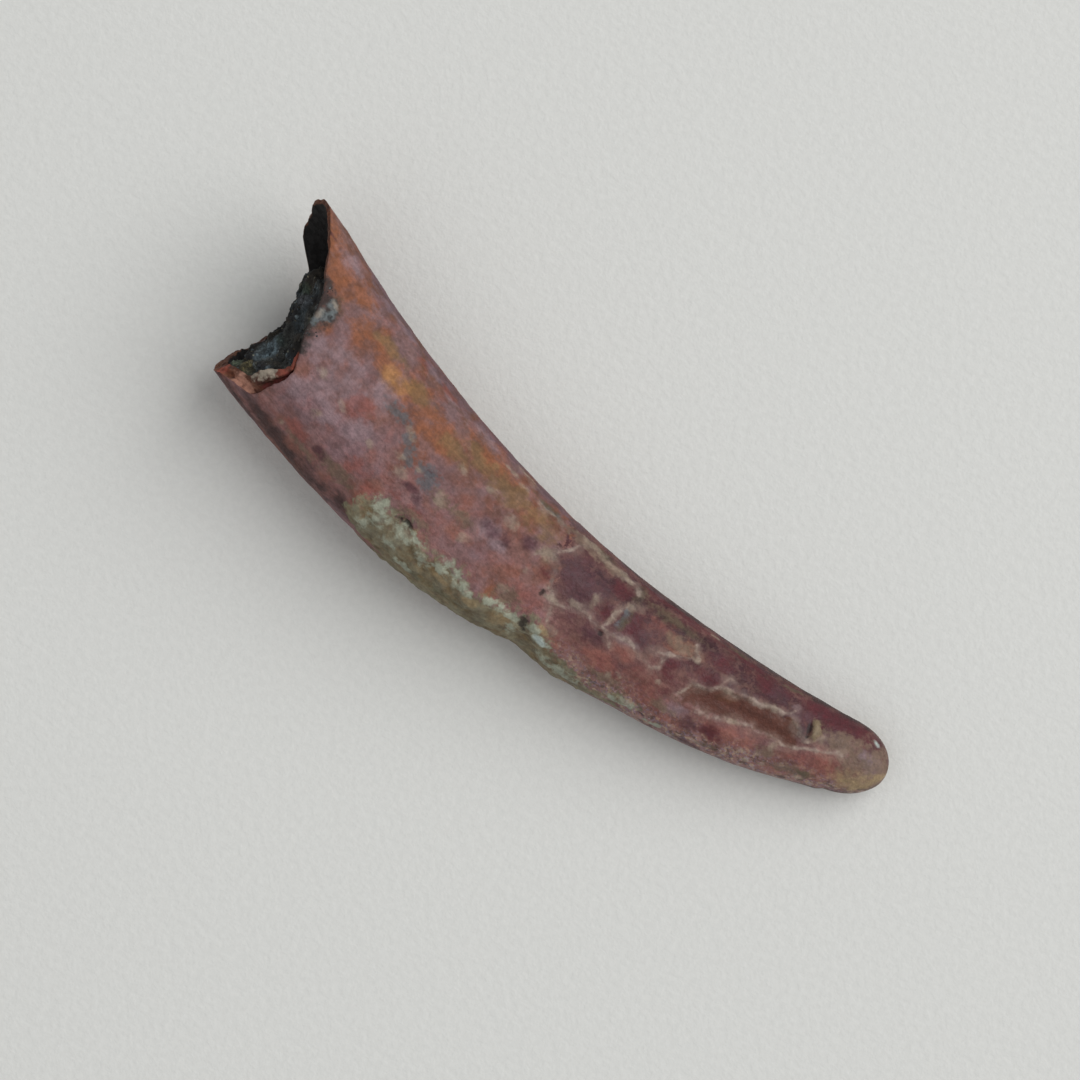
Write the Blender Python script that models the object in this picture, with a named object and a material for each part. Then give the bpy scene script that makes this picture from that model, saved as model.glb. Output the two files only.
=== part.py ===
"""A fossil pterosaur tooth, lying on its side, at its real size.

The tooth is one mineralised piece. Its root is broken off aslant, so the thin wall round the pulp cavity
stands open, and dark sand cemented in the cavity fills it nearly to the break.

Lengths are in metres. +X runs from root to tip along the chord of the curve, +Y is the hollow side of the
curve and +Z is up. The origin is on the floor, under the middle of the tooth.

A place on the tooth is given by its distance along the curved axis, from the root to the tip, and by its
angle round the axis: 0 degrees is the hollow side of the curve, 90 is the top, 180 is the bulging side and
-90 is the underside.
"""

import math

import bmesh
import bpy
from mathutils import Vector, noise

MM = 0.001

# The curved axis, a circular arc in a plane parallel to the floor.
CURVE_RADIUS = 57.5 * MM
AXIS_LENGTH = 38.2 * MM
ROOT_HEADING = math.radians(-19.55)
ROOT_X = -18.55 * MM
ROOT_Y = 0.70 * MM

# Half widths either side of the axis, as (distance along, half width).
HOLLOW_SIDE = (
    (-3.0 * MM, 4.72 * MM),
    (0.0 * MM, 4.54 * MM),
    (8.0 * MM, 4.20 * MM),
    (15.0 * MM, 3.73 * MM),
    (21.0 * MM, 3.20 * MM),
    (28.0 * MM, 2.68 * MM),
    (34.5 * MM, 2.03 * MM),
    (38.2 * MM, 1.84 * MM),
)
BULGING_SIDE = (
    (-3.0 * MM, 4.62 * MM),
    (3.0 * MM, 4.38 * MM),
    (8.0 * MM, 4.20 * MM),
    (13.8 * MM, 3.96 * MM),
    (17.4 * MM, 3.54 * MM),
    (19.9 * MM, 3.02 * MM),
    (22.0 * MM, 3.13 * MM),
    (25.4 * MM, 2.83 * MM),
    (28.6 * MM, 2.67 * MM),
    (31.8 * MM, 2.38 * MM),
    (35.0 * MM, 1.94 * MM),
    (38.2 * MM, 1.76 * MM),
)
DEPTH_TO_WIDTH = 0.80

# The rounded tip, and the flat that wear has left on its bulging side.
TIP_ROUNDING = 2.7 * MM
WEAR_FROM = 35.7 * MM
WEAR_TO = 37.7 * MM
WEAR_ONSET = 0.5 * MM
WEAR_DEPTH = 0.12 * MM
WEAR_NARROWNESS = 6

# The underside is straight from the tip to here, and then rises towards the root.
RISE_FROM = 7.0 * MM
ROOT_RISE = 1.1 * MM

# The broken end of the root, as (degrees round, distance along). It runs from a spike on the hollow side
# to a bite in the top.
BREAK = (
    (-180, 1.70 * MM),
    (-161, 1.66 * MM),
    (-136, 1.56 * MM),
    (-113, 1.78 * MM),
    (-100, 1.84 * MM),
    (-86, 1.48 * MM),
    (-74, 0.72 * MM),
    (-62, 0.05 * MM),
    (-54, -1.40 * MM),
    (-40, -2.10 * MM),
    (-27, -2.34 * MM),
    (-12, -2.10 * MM),
    (4, -1.62 * MM),
    (20, -0.98 * MM),
    (37, -0.10 * MM),
    (53, 1.05 * MM),
    (66, 1.86 * MM),
    (88, 2.77 * MM),
    (108, 3.87 * MM),
    (136, 3.70 * MM),
    (151, 2.96 * MM),
    (166, 1.95 * MM),
    (180, 1.70 * MM),
)
RAGGED_HEIGHT = 0.08 * MM
RAGGED_STEPS = 3.1

# The wall round the pulp cavity, thin on the hollow side of the curve. Towards the bulging side its outer
# layer has broken further back than the rest, which leaves a ledge, as (degrees round, length of ledge).
WALL_HOLLOW_SIDE = 0.30 * MM
WALL_BULGING_SIDE = 0.88 * MM
OUTER_LAYER = 0.40
LEDGE_SLOPE = 0.15
LIP = 0.12 * MM
LEDGE = (
    (88, 0.0 * MM),
    (112, 0.45 * MM),
    (128, 0.85 * MM),
    (146, 0.80 * MM),
    (160, 0.25 * MM),
    (172, 0.0 * MM),
)
CAVITY_END = 10.5 * MM

# Low relief on the outside, as (along, across, half length, half width, height). Across is measured from
# the axis towards the hollow side of the curve.
TOP_RELIEF = (
    (11.2 * MM, -3.1 * MM, 1.6 * MM, 1.0 * MM, 0.20 * MM),
    (14.0 * MM, -3.1 * MM, 1.8 * MM, 0.8 * MM, 0.12 * MM),
    (17.0 * MM, -2.5 * MM, 2.2 * MM, 0.8 * MM, 0.18 * MM),
    (20.8 * MM, -1.8 * MM, 1.1 * MM, 0.8 * MM, 0.20 * MM),
    (12.5 * MM, -2.3 * MM, 0.6 * MM, 0.5 * MM, -0.20 * MM),
    (20.4 * MM, -2.7 * MM, 1.6 * MM, 0.5 * MM, -0.20 * MM),
    (22.0 * MM, 1.3 * MM, 2.4 * MM, 0.7 * MM, 0.10 * MM),
    (26.7 * MM, 1.3 * MM, 1.2 * MM, 0.6 * MM, -0.14 * MM),
    (30.5 * MM, -0.4 * MM, 3.2 * MM, 0.7 * MM, -0.18 * MM),
    (30.3 * MM, 0.8 * MM, 2.6 * MM, 0.4 * MM, 0.08 * MM),
    (34.2 * MM, 0.6 * MM, 0.6 * MM, 0.4 * MM, 0.16 * MM),
    (5.2 * MM, -1.6 * MM, 1.4 * MM, 1.0 * MM, 0.10 * MM),
    (3.0 * MM, 1.3 * MM, 0.9 * MM, 0.7 * MM, 0.14 * MM),
)
UNDER_RELIEF = (
    (9.0 * MM, -2.6 * MM, 2.6 * MM, 0.8 * MM, 0.14 * MM),
    (16.5 * MM, 2.2 * MM, 2.2 * MM, 0.8 * MM, -0.18 * MM),
    (21.0 * MM, -1.9 * MM, 2.6 * MM, 0.6 * MM, 0.14 * MM),
    (29.0 * MM, 1.5 * MM, 2.4 * MM, 0.6 * MM, -0.14 * MM),
)
PATCH_CORE = 0.35
PATCH_EDGE = 1.25
SWELL_HEIGHT = 0.09 * MM
SWELL_SIZE = 3.2 * MM
SIDE_BAND = 0.6 * MM

# The cemented sand. It stops short of the wall all round, stands out of the break in the middle, and is
# hollowed out on the thin side of the wall.
FILL_GAP = 0.25 * MM
FILL_END = 9.4 * MM
FACE_BULGE = 0.55 * MM
HOLLOW_FROM = 1.9 * MM
HOLLOW_WIDTH = 1.4 * MM
HOLLOW_DEPTH = 2.6 * MM
LUMP_HEIGHT = 0.55 * MM
LUMP_SIZE = 1.1 * MM
LUMP_ROUGHNESS = 1.0
LUMP_STEP = 2.0
LUMP_OCTAVES = 3

# The section that the face of the sand is measured by, and how far out from its middle the face is free
# of its edge.
FACE_AT = 2.0 * MM
FACE_MIDDLE = 0.80
EDGE_SEARCH_STEPS = 6

# How finely the tooth and the sand are divided: sides round, and rows along each stretch. The rows outside
# crowd towards the tip.
TOOTH_SIDES = 64
OUTSIDE_ROWS = 43
TIP_CROWDING = 0.72
EDGE_ROWS = 2
CAVITY_ROWS = 9
FILL_SIDES = 44
FACE_ROWS = 12
BURIED_ROWS = 6

SHARP_ANGLE = math.radians(40)
DENTINE_COLOUR = (0.222, 0.094, 0.090, 1.0)
DENTINE_ROUGHNESS = 0.45
SAND_COLOUR = (0.050, 0.047, 0.040, 1.0)
SAND_ROUGHNESS = 0.95


def blend(low, high, x):
    """0 below low, 1 above high, and a smooth step between."""
    t = min(max((x - low) / (high - low), 0.0), 1.0)
    return t * t * (3.0 - 2.0 * t)


def through(points, x):
    """The value at x of the smooth curve through points, a row of (x, value) pairs."""
    if x <= points[0][0]:
        return points[0][1]
    if x >= points[-1][0]:
        return points[-1][1]
    i = 0
    while x > points[i + 1][0]:
        i += 1
    x0, y0 = points[i]
    x1, y1 = points[i + 1]
    before = points[max(i - 1, 0)]
    after = points[min(i + 2, len(points) - 1)]
    slope0 = (y1 - before[1]) / (x1 - before[0])
    slope1 = (after[1] - y0) / (after[0] - x0)
    step = x1 - x0
    t = (x - x0) / step
    rest = 1.0 - t
    ends = y0 * rest * rest * (1.0 + 2.0 * t) + y1 * t * t * (3.0 - 2.0 * t)
    return ends + step * t * rest * (slope0 * rest - slope1 * t)


def axis_point(along):
    """The axis at this distance, over the floor, and the level direction towards the hollow side."""
    heading = ROOT_HEADING + along / CURVE_RADIUS
    x = ROOT_X + CURVE_RADIUS * (math.sin(heading) - math.sin(ROOT_HEADING))
    y = ROOT_Y + CURVE_RADIUS * (math.cos(ROOT_HEADING) - math.cos(heading))
    return Vector((x, y, 0.0)), Vector((-math.sin(heading), math.cos(heading), 0.0))


def half_widths(along):
    return through(HOLLOW_SIDE, along), through(BULGING_SIDE, along)


def half_depth(along):
    return DEPTH_TO_WIDTH * through(HOLLOW_SIDE, along)


def axis_height(along):
    """The axis lies half the tooth's depth above the floor, and higher where the root rises."""
    rise = max((RISE_FROM - along) / RISE_FROM, 0.0)
    return half_depth(along) + ROOT_RISE * rise * rise


def rounded_end(along, start, end):
    """The share of the full section that is left at this distance, where a round end closes at end."""
    t = min(max((along - start) / (end - start), 0.0), 1.0)
    return math.sqrt(1.0 - t * t)


def tip_taper(along):
    return rounded_end(along, AXIS_LENGTH - TIP_ROUNDING, AXIS_LENGTH)


def section(along, angle, inset=0.0):
    """(across, up) from the axis to the surface, or to a surface that lies inset beneath it."""
    hollow, bulging = half_widths(along)
    width = hollow if math.cos(angle) > 0.0 else bulging
    taper = tip_taper(along)
    across = (width * taper - inset) * math.cos(angle)
    up = (half_depth(along) * taper - inset) * math.sin(angle)
    return across, up


def placed(along, across, up):
    point, sideways = axis_point(along)
    return point + sideways * across + Vector((0.0, 0.0, axis_height(along) + up))


def break_along(angle):
    """Where the wall ends at this angle."""
    ragged = noise.noise(RAGGED_STEPS * Vector((math.cos(angle), math.sin(angle), 1.0)))
    return through(BREAK, math.degrees(angle)) + RAGGED_HEIGHT * ragged


def ledge(angle):
    return max(through(LEDGE, math.degrees(angle)), 0.0)


def inner_lip(angle):
    """Where the inside of the wall begins at this angle."""
    return break_along(angle) + LIP - ledge(angle)


def wall(angle):
    share = (1.0 - math.cos(angle)) / 2.0
    return WALL_HOLLOW_SIDE + (WALL_BULGING_SIDE - WALL_HOLLOW_SIDE) * share


def relief(along, across, up):
    """How far the surface stands out over the plain horn shape. It is plain along the two sides."""
    height = 0.0
    for centre, offset, length, width, rise in TOP_RELIEF if up > 0.0 else UNDER_RELIEF:
        reach = math.hypot((along - centre) / length, (across - offset) / width)
        height += rise * (1.0 - blend(PATCH_CORE, PATCH_EDGE, reach))
    swell = noise.noise(Vector((along, across, up)) / SWELL_SIZE)
    return (height + SWELL_HEIGHT * swell) * blend(0.0, SIDE_BAND, abs(up))


def wear(along, angle):
    """The depth of the worn flat on the bulging side of the tip."""
    worn = blend(WEAR_FROM - WEAR_ONSET, WEAR_FROM, along) * (1.0 - blend(WEAR_TO, AXIS_LENGTH, along))
    return WEAR_DEPTH * worn * max(-math.cos(angle), 0.0) ** WEAR_NARROWNESS


def outside_point(along, angle):
    """A point on the outside, pressed flat where it would reach below the floor."""
    across, up = section(along, angle)
    outward = Vector((math.cos(angle), math.sin(angle)))
    shift = (relief(along, across, up) - wear(along, angle)) * tip_taper(along)
    point = placed(along, across + outward.x * shift, up + outward.y * shift)
    point.z = max(point.z, 0.0)
    return point


def cavity_point(along, angle, inset, lip, extra=1.0):
    """A point that lies inset beneath the outside, where the cavity has narrowed since its lip."""
    size = rounded_end(along, lip, CAVITY_END) * extra
    across, up = section(along, angle, inset)
    return placed(along, across * size, up * size)


def tooth_point(row, angle):
    """A point of the tooth: rows run from the tip to the break, over its edge and down the cavity."""
    rim = break_along(angle)
    if row <= OUTSIDE_ROWS:
        share = (1.0 - math.cos(row / OUTSIDE_ROWS * math.pi / 2.0)) ** TIP_CROWDING
        return outside_point(AXIS_LENGTH - (AXIS_LENGTH - rim) * share, angle)
    thickness = wall(angle)
    if row == OUTSIDE_ROWS + 1:
        return placed(rim + LIP / 2.0, *section(rim, angle, thickness * OUTER_LAYER))
    if row == OUTSIDE_ROWS + 2:
        edge = rim + LIP / 2.0 - ledge(angle)
        return placed(edge, *section(rim, angle, thickness * (OUTER_LAYER + LEDGE_SLOPE)))
    lip = inner_lip(angle)
    share = (row - OUTSIDE_ROWS - EDGE_ROWS - 1) / (CAVITY_ROWS - 1)
    along = lip + (CAVITY_END - lip) * math.sin(share * math.pi / 2.0)
    return cavity_point(along, angle, thickness, lip)


def face_along(across, up):
    """How far along the tooth the front of the sand lies at this place in the section."""
    hollow, bulging = half_widths(FACE_AT)
    side = across / (hollow if across > 0.0 else bulging)
    level = up / half_depth(FACE_AT)
    angle = math.acos(min(max(side, -1.0), 1.0))
    over = (level + 1.0) / 2.0
    front = inner_lip(-angle) * (1.0 - over) + inner_lip(angle) * over
    bulge = FACE_BULGE * max(1.0 - side * side - level * level, 0.0)
    place = Vector((across, up, FACE_AT)) / LUMP_SIZE
    lump = LUMP_HEIGHT * noise.fractal(place, LUMP_ROUGHNESS, LUMP_STEP, LUMP_OCTAVES)
    hollowed = HOLLOW_DEPTH * blend(HOLLOW_FROM, HOLLOW_FROM + HOLLOW_WIDTH, across)
    return front - bulge + lump + hollowed


def fill_point(row, angle):
    """A point of the sand: rows run from its buried end out to the edge of its face, and to the middle."""
    inset = wall(angle) + FILL_GAP
    lip = inner_lip(angle)
    edge = lip
    for _ in range(EDGE_SEARCH_STEPS):
        size = rounded_end(edge, lip, CAVITY_END)
        across, up = section(edge, angle, inset)
        edge = max(face_along(across * size, up * size), lip + LIP)
    if row < BURIED_ROWS:
        along = FILL_END - (FILL_END - edge) * (1.0 - math.cos(row / BURIED_ROWS * math.pi / 2.0))
        return cavity_point(along, angle, inset, lip, rounded_end(along, edge, FILL_END))
    share = 1.0 - (row - BURIED_ROWS) / FACE_ROWS
    size = rounded_end(edge, lip, CAVITY_END) * share
    across, up = section(edge, angle, inset)
    along = face_along(across * size, up * size)
    at_edge = blend(FACE_MIDDLE, 1.0, share)
    return placed(edge * at_edge + along * (1.0 - at_edge), across * size, up * size)


def wrapped_sphere(name, sides, rows, place, colour, roughness):
    """A closed body: a sphere whose rows, counted from its top, and sides are moved to where place says."""
    mesh_maker = bmesh.new()
    bmesh.ops.create_uvsphere(mesh_maker, u_segments=sides, v_segments=rows, radius=1.0)
    for vertex in mesh_maker.verts:
        row = round(math.acos(min(max(vertex.co.z, -1.0), 1.0)) * rows / math.pi)
        at_pole = row in (0, rows)
        angle = 0.0 if at_pole else math.atan2(vertex.co.y, vertex.co.x)
        vertex.co = place(row, angle)
    mesh = bpy.data.meshes.new(name)
    mesh_maker.to_mesh(mesh)
    mesh_maker.free()
    mesh.shade_smooth()
    mesh.set_sharp_from_angle(angle=SHARP_ANGLE)
    material = bpy.data.materials.new(name)
    material.use_nodes = True
    shader = material.node_tree.nodes["Principled BSDF"]
    shader.inputs["Base Color"].default_value = colour
    shader.inputs["Roughness"].default_value = roughness
    shader.inputs["Metallic"].default_value = 0.0
    mesh.materials.append(material)
    return bpy.data.objects.new(name, mesh)


def main():
    for old in list(bpy.data.objects):
        bpy.data.objects.remove(old, do_unlink=True)
    parts = bpy.data.collections.new("fossil_pterosaur_tooth")
    bpy.context.scene.collection.children.link(parts)
    rows = OUTSIDE_ROWS + EDGE_ROWS + CAVITY_ROWS
    tooth = wrapped_sphere("tooth", TOOTH_SIDES, rows, tooth_point, DENTINE_COLOUR, DENTINE_ROUGHNESS)
    parts.objects.link(tooth)
    rows = BURIED_ROWS + FACE_ROWS
    sand = wrapped_sphere("sand_fill", FILL_SIDES, rows, fill_point, SAND_COLOUR, SAND_ROUGHNESS)
    parts.objects.link(sand)


main()
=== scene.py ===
"""A fossil pterosaur tooth lying on a pale floor: the finished surface of the tooth, the sand in its root,
and the stage.

The tooth is one mineralised piece. Its root is broken off aslant, its thin wall stands open round dark sand
that is cemented in the pulp cavity, and a pale crust covers part of its bulging side.

The frame is in metres. The shapes here are worked out in millimetres and scaled once, when a mesh is made.
A place on the tooth is (along, angle): the distance along the curved axis from the root, and the angle round
it, where 0 degrees is the hollow side of the curve, 90 is the top, 180 is the bulging side and -90 is the
underside. Marks seen from above are placed by (along, across), where across is measured from the axis towards
the hollow side.
"""

import math
from collections import namedtuple

import bmesh
import bpy
import numpy as np
from bpy.props import FloatProperty, FloatVectorProperty, IntProperty, PointerProperty
from bpy.types import Operator, Panel, PropertyGroup
from mathutils import Euler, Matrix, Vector, noise


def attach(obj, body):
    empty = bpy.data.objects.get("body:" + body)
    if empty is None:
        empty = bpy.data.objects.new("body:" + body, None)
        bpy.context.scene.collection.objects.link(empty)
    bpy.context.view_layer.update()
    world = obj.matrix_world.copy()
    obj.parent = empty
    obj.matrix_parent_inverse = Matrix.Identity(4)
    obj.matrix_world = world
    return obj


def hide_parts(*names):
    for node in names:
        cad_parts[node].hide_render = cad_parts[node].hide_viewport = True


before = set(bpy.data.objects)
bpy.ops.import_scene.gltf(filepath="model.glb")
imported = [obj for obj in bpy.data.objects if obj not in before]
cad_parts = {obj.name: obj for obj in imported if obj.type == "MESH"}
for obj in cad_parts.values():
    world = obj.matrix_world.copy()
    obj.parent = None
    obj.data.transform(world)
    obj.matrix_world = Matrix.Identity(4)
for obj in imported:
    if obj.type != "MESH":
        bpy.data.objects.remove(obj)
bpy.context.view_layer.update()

bl_info = {
    "name": "Fossil Pterosaur Tooth",
    "version": (1, 0, 0),
    "blender": (4, 5, 0),
    "location": "3D View > Sidebar > Fossil Tooth",
    "description": "Makes the finished surface of a fossil tooth, the sand in its root, and a pale stage",
    "category": "Object",
}

MM = 0.001
BODY = "root"

# ----------------------------------------
# The form of the tooth, in millimetres. It is the solid's own, but with a closer outline of the break, a
# thinner wall and a closer tip. The sides are (along, half width), the break (degrees round, along), the
# ledge (degrees round, how far it stands out), and low relief (along, across, half length, half width, rise).

CURVE_RADIUS = 57.5
AXIS_LENGTH = 38.2
ROOT_HEADING = math.radians(-19.55)
ROOT_X = -18.55
ROOT_Y = 0.7
HOLLOW_SIDE = (
    (-3.0, 4.42), (0.0, 4.54), (8.0, 4.2), (15.0, 3.73), (21.0, 3.2), (28.0, 2.66), (34.0, 2.02),
    (36.3, 1.76), (38.2, 1.74),
)
BULGING_SIDE = (
    (-3.0, 4.62), (3.0, 4.38), (8.0, 4.2), (13.8, 3.96), (17.4, 3.54), (19.9, 3.02), (22.0, 3.13),
    (25.4, 2.83), (28.6, 2.67), (31.8, 2.38), (35.0, 1.94), (38.2, 1.76),
)
DEPTH_TO_WIDTH = 0.8
TIP_ROUNDING = 2.3
WEAR_FROM = 35.7
WEAR_TO = 37.7
WEAR_ONSET = 0.5
WEAR_DEPTH = 0.12
WEAR_NARROWNESS = 6
RISE_FROM = 7.0
ROOT_RISE = 1.1
BREAK = (
    (-180, 1.7), (-161, 1.55), (-142, 1.5), (-125, 1.64), (-110, 1.68), (-98, 1.74), (-87, 1.42),
    (-72, 0.58), (-65, 0.35), (-60, -0.15), (-55, -1.05), (-50, -1.68), (-42, -1.92), (-35, -2.08),
    (-25, -2.52), (-12, -2.42), (0, -2.12), (20, -1.4), (37, -0.36), (53, 0.84), (66, 1.76), (88, 2.77),
    (108, 3.87), (136, 3.72), (148, 3.45), (157, 2.5), (166, 1.88), (180, 1.7),
)
RAGGED_HEIGHT = 0.08
RAGGED_STEPS = 3.1
WALL_HOLLOW_SIDE = 0.19
WALL_BULGING_SIDE = 0.68
OUTER_LAYER = 0.4
LEDGE_SLOPE = 0.15
LIP = 0.12
LEDGE = ((88, 0.0), (112, 0.45), (128, 0.85), (146, 0.8), (160, 0.25), (172, 0.0))
CAVITY_END = 10.5
TOP_RELIEF = (
    (11.2, -3.1, 1.6, 1.0, 0.2), (14.0, -3.1, 1.8, 0.8, 0.12), (17.0, -2.5, 2.2, 0.8, 0.18),
    (20.8, -1.8, 1.1, 0.8, 0.2), (12.5, -2.3, 0.6, 0.5, -0.2), (20.4, -2.7, 1.6, 0.5, -0.2),
    (22.0, 1.3, 2.4, 0.7, 0.1), (26.7, 1.3, 1.2, 0.6, -0.14), (30.5, -0.4, 3.2, 0.7, -0.18),
    (30.3, 0.8, 2.6, 0.4, 0.08), (34.2, 0.6, 0.4, 0.45, 0.08), (5.2, -1.6, 1.4, 1.0, 0.1),
    (3.0, 1.3, 0.9, 0.7, 0.14),
)
UNDER_RELIEF = (
    (9.0, -2.6, 2.6, 0.8, 0.14), (16.5, 2.2, 2.2, 0.8, -0.18), (21.0, -1.9, 2.6, 0.6, 0.14),
    (29.0, 1.5, 2.4, 0.6, -0.14),
)
PATCH_CORE = 0.35
PATCH_EDGE = 1.25
SWELL_HEIGHT = 0.09
SWELL_SIZE = 3.2
SIDE_BAND = 0.6
FILL_END = 9.4
FACE_BULGE = 0.55
HOLLOW_FROM = 1.9
HOLLOW_WIDTH = 1.4
HOLLOW_DEPTH = 2.6
LUMP_HEIGHT = 0.55
LUMP_SIZE = 1.1
LUMP_OCTAVES = 3
FACE_AT = 2.0
FACE_MIDDLE = 0.8
EDGE_SEARCH_STEPS = 6
TIP_CROWDING = 0.72

# ----------------------------------------
# What the finished surface adds to that form, in millimetres.

# The break: small teeth along its rim, and the rough fracture across the wall. Its rows are counted for the
# outer layer, the ledge and the inner layer.
RIM_TEETH = ((0.7, 0.07), (0.26, 0.05))
RIM_RADIUS = 4.54
FRACTURE_ROUGHNESS = 0.06
FRACTURE_GRAIN = 0.28
FRACTURE_ONSET = 0.2
FRACTURE_ROWS = (5, 9, 6)

# Along the ledge, between two angles in degrees, a slot follows the foot of the outer layer and leaves a low
# bar between it and the sand. Both lie at a share of the way from that foot to the sand.
SLOT_AT = 0.16
SLOT_SPREAD = 0.13
SLOT_DEPTH = 0.34
SLOT_BEGINS = (98.0, 108.0)
SLOT_ENDS = (134.0, 145.0)
BAR_AT = 0.6
BAR_SPREAD = 0.22
BAR_HEIGHT = 0.12

# The crown's enamel ends in an irregular step, as (degrees round, distance along).
CROWN_EDGE = (
    (-180, 20.8), (-150, 19.6), (-120, 20.6), (-95, 19.2), (-70, 20.2), (-40, 18.7), (-15, 19.4), (8, 18.6),
    (35, 18.9), (48, 19.0), (61, 18.7), (72, 19.3), (83, 19.6), (94, 19.8), (103, 20.4), (117, 21.0),
    (131, 21.5), (145, 22.2), (162, 21.6), (180, 20.8),
)
ENAMEL_STEP = 0.04

# The crust: its upper edge as (along, across), its ragged ends as (degrees round, along), and how many
# degrees round it reaches beneath the bulging side, by distance along.
CRUST_EDGE = (
    (9.9, -3.6), (10.3, -2.7), (10.9, -2.1), (12.0, -2.05), (13.3, -1.9), (14.1, -2.2), (14.9, -2.1),
    (15.8, -1.85), (16.9, -2.2), (17.9, -2.0), (18.9, -1.85), (19.6, -1.6), (20.4, -1.55), (21.2, -1.75),
    (21.5, -2.25), (23.0, -2.45), (24.2, -2.5), (25.2, -2.2), (26.4, -2.35), (28.0, -2.45),
)
CRUST_STARTS = (
    (90, 10.2), (138, 10.2), (146, 9.7), (154, 10.4), (163, 12.2), (171, 12.7), (180, 11.2), (187, 10.9),
    (196, 12.4), (206, 14.1), (216, 13.0), (230, 14.5),
)
CRUST_FINISHES = (
    (90, 27.0), (138, 27.0), (147, 26.2), (156, 24.9), (164, 25.4), (172, 24.0), (182, 22.4), (191, 23.4),
    (200, 21.8), (210, 19.9), (220, 20.6), (230, 19.0),
)
CRUST_UNDER = (
    (9.0, 176), (11.0, 190), (12.2, 208), (13.6, 216), (14.8, 204), (15.9, 190), (17.1, 199), (18.2, 221),
    (19.6, 212), (20.5, 192), (21.6, 183), (22.9, 197), (24.1, 188), (25.3, 168), (27.0, 160),
)
CRUST_RAGGED = 0.55
CRUST_RAGGED_SIZE = 1.5
CRUST_RAGGED_FROM = (125, 155)
CRUST_HEIGHT = 0.03
CRUST_LUMPS = 0.08
CRUST_LUMP_SIZE = 0.8
CRUST_GRANULES = 0.05
CRUST_GRANULE_SIZE = 0.34
GRANULE_STEEPNESS = 1.6

# The long spall in the enamel: its two edges as (along, across).
SPALL_UPPER = (
    (27.5, -0.75), (27.8, -0.1), (28.4, 0.1), (28.9, 0.28), (29.3, 0.5), (30.5, 0.55), (31.5, 0.62),
    (32.4, 0.72), (33.1, 0.55), (33.6, 0.05),
)
SPALL_LOWER = (
    (27.5, -0.85), (29.0, -0.92), (30.1, -0.72), (30.7, -0.52), (31.3, -0.45), (31.8, -0.6), (33.0, -0.62),
    (33.6, -0.5),
)
SPALL_STEP = 0.07

# Fine unevenness of the weathered root and of the smoother crown, and the growth lines along both.
ROOT_UNEVEN = 0.03
CROWN_UNEVEN = 0.014
UNEVEN_SIZE = 0.85
GROWTH_LINES = 0.008
GROWTH_LINE_WIDTH = 0.35
GROWTH_LINE_LENGTH = 5.0

# A mark keeps its size on the surface, so it is measured by the way round the section, not straight across.
# The places that it is laid on are shaken by noise, as (size, reach), and its like beneath is shifted along.
ROUND_TO_WIDTH = 0.9
SMALLEST_TAPER = 0.3
FARTHEST_ACROSS = 0.999
SHAKES = ((0.9, 0.13), (0.36, 0.06), (0.2, 0.03))
UNDER_SHIFT = 1.3
UNDER_TURN = 2.3

# Where relief rises over the field that it follows.
CROWN_RISES = (0.4, 0.6)
CRUST_RISES = (0.4, 0.75)
STAIN_RISES = (0.3, 0.75)
SPALL_FALLS = (0.45, 0.6)

# ----------------------------------------
# Stains and deposits on the tooth, and painted shade: the dark marks along its edges and in its pits,
# and part of the violet on the root's hollow edge. Each has a colour, how strongly it covers, how soft its
# edge is, how far a grain of the surface breaks that edge up, which grain does so, and how far it stands out
# in millimetres.
# The first ones lie under the crust and the others on it.

Stain = namedtuple("Stain", "name colour cover soft breakup grain rise", defaults=(0.0,))
STAINS_AND_SHADE = (
    Stain("orange", "#8C5638", 0.7, 0.4, 0.55, "mid_red"),
    Stain("olive", "#7C6242", 0.66, 0.36, 0.6, "mid_green"),
    Stain("gold", "#A87C4C", 0.62, 0.48, 0.4, "mid_red"),
    Stain("lilac", "#8E797E", 0.64, 0.42, 0.5, "mid_blue"),
    Stain("rose", "#84483E", 0.55, 0.4, 0.6, "mid_red"),
    Stain("brick", "#94584C", 0.5, 0.4, 0.55, "mid_green"),
    Stain("plum", "#4B2A33", 0.72, 0.38, 0.55, "mid_green"),
    Stain("crimson", "#521A22", 0.82, 0.36, 0.55, "mid_blue"),
    # Painted shade: dark brown along the edges of the tooth.
    Stain("grime", "#2C1E1E", 0.78, 0.44, 0.5, "mid_blue"),
    Stain("slate", "#545C60", 0.7, 0.3, 0.55, "fine_blue", -0.02),
    Stain("tan", "#766253", 0.8, 0.34, 0.45, "fine_green"),
    Stain("moss", "#564F3A", 0.6, 0.4, 0.4, "fine_green"),
    # Part painted shade: violet darkening along the root's hollow edge.
    Stain("violet", "#5A4650", 0.66, 0.4, 0.45, "mid_blue"),
    Stain("ochre", "#9C8664", 0.75, 0.36, 0.5, "mid_green"),
    Stain("matrix", "#2F2C2B", 0.9, 0.34, 0.4, "fine_blue", 0.05),
    Stain("pale", "#6E7779", 0.72, 0.4, 0.45, "fine_red", 0.02),
    Stain("lime", "#A4A896", 0.8, 0.38, 0.6, "fine_red", 0.03),
    Stain("boss", "#85745A", 0.85, 0.22, 0.3, "fine_green", 0.12),
    Stain("speck", "#A0907E", 0.48, 0.42, 0.45, "fine_red", 0.01),
    # Painted shade: dark in small dents.
    Stain("pit", "#241C1C", 0.8, 0.26, 0.5, "fine_blue", -0.09),
    Stain("chalk", "#C0CCC6", 0.92, 0.34, 0.3, "fine_red"),
)
UNDER_CRUST = 13

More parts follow.
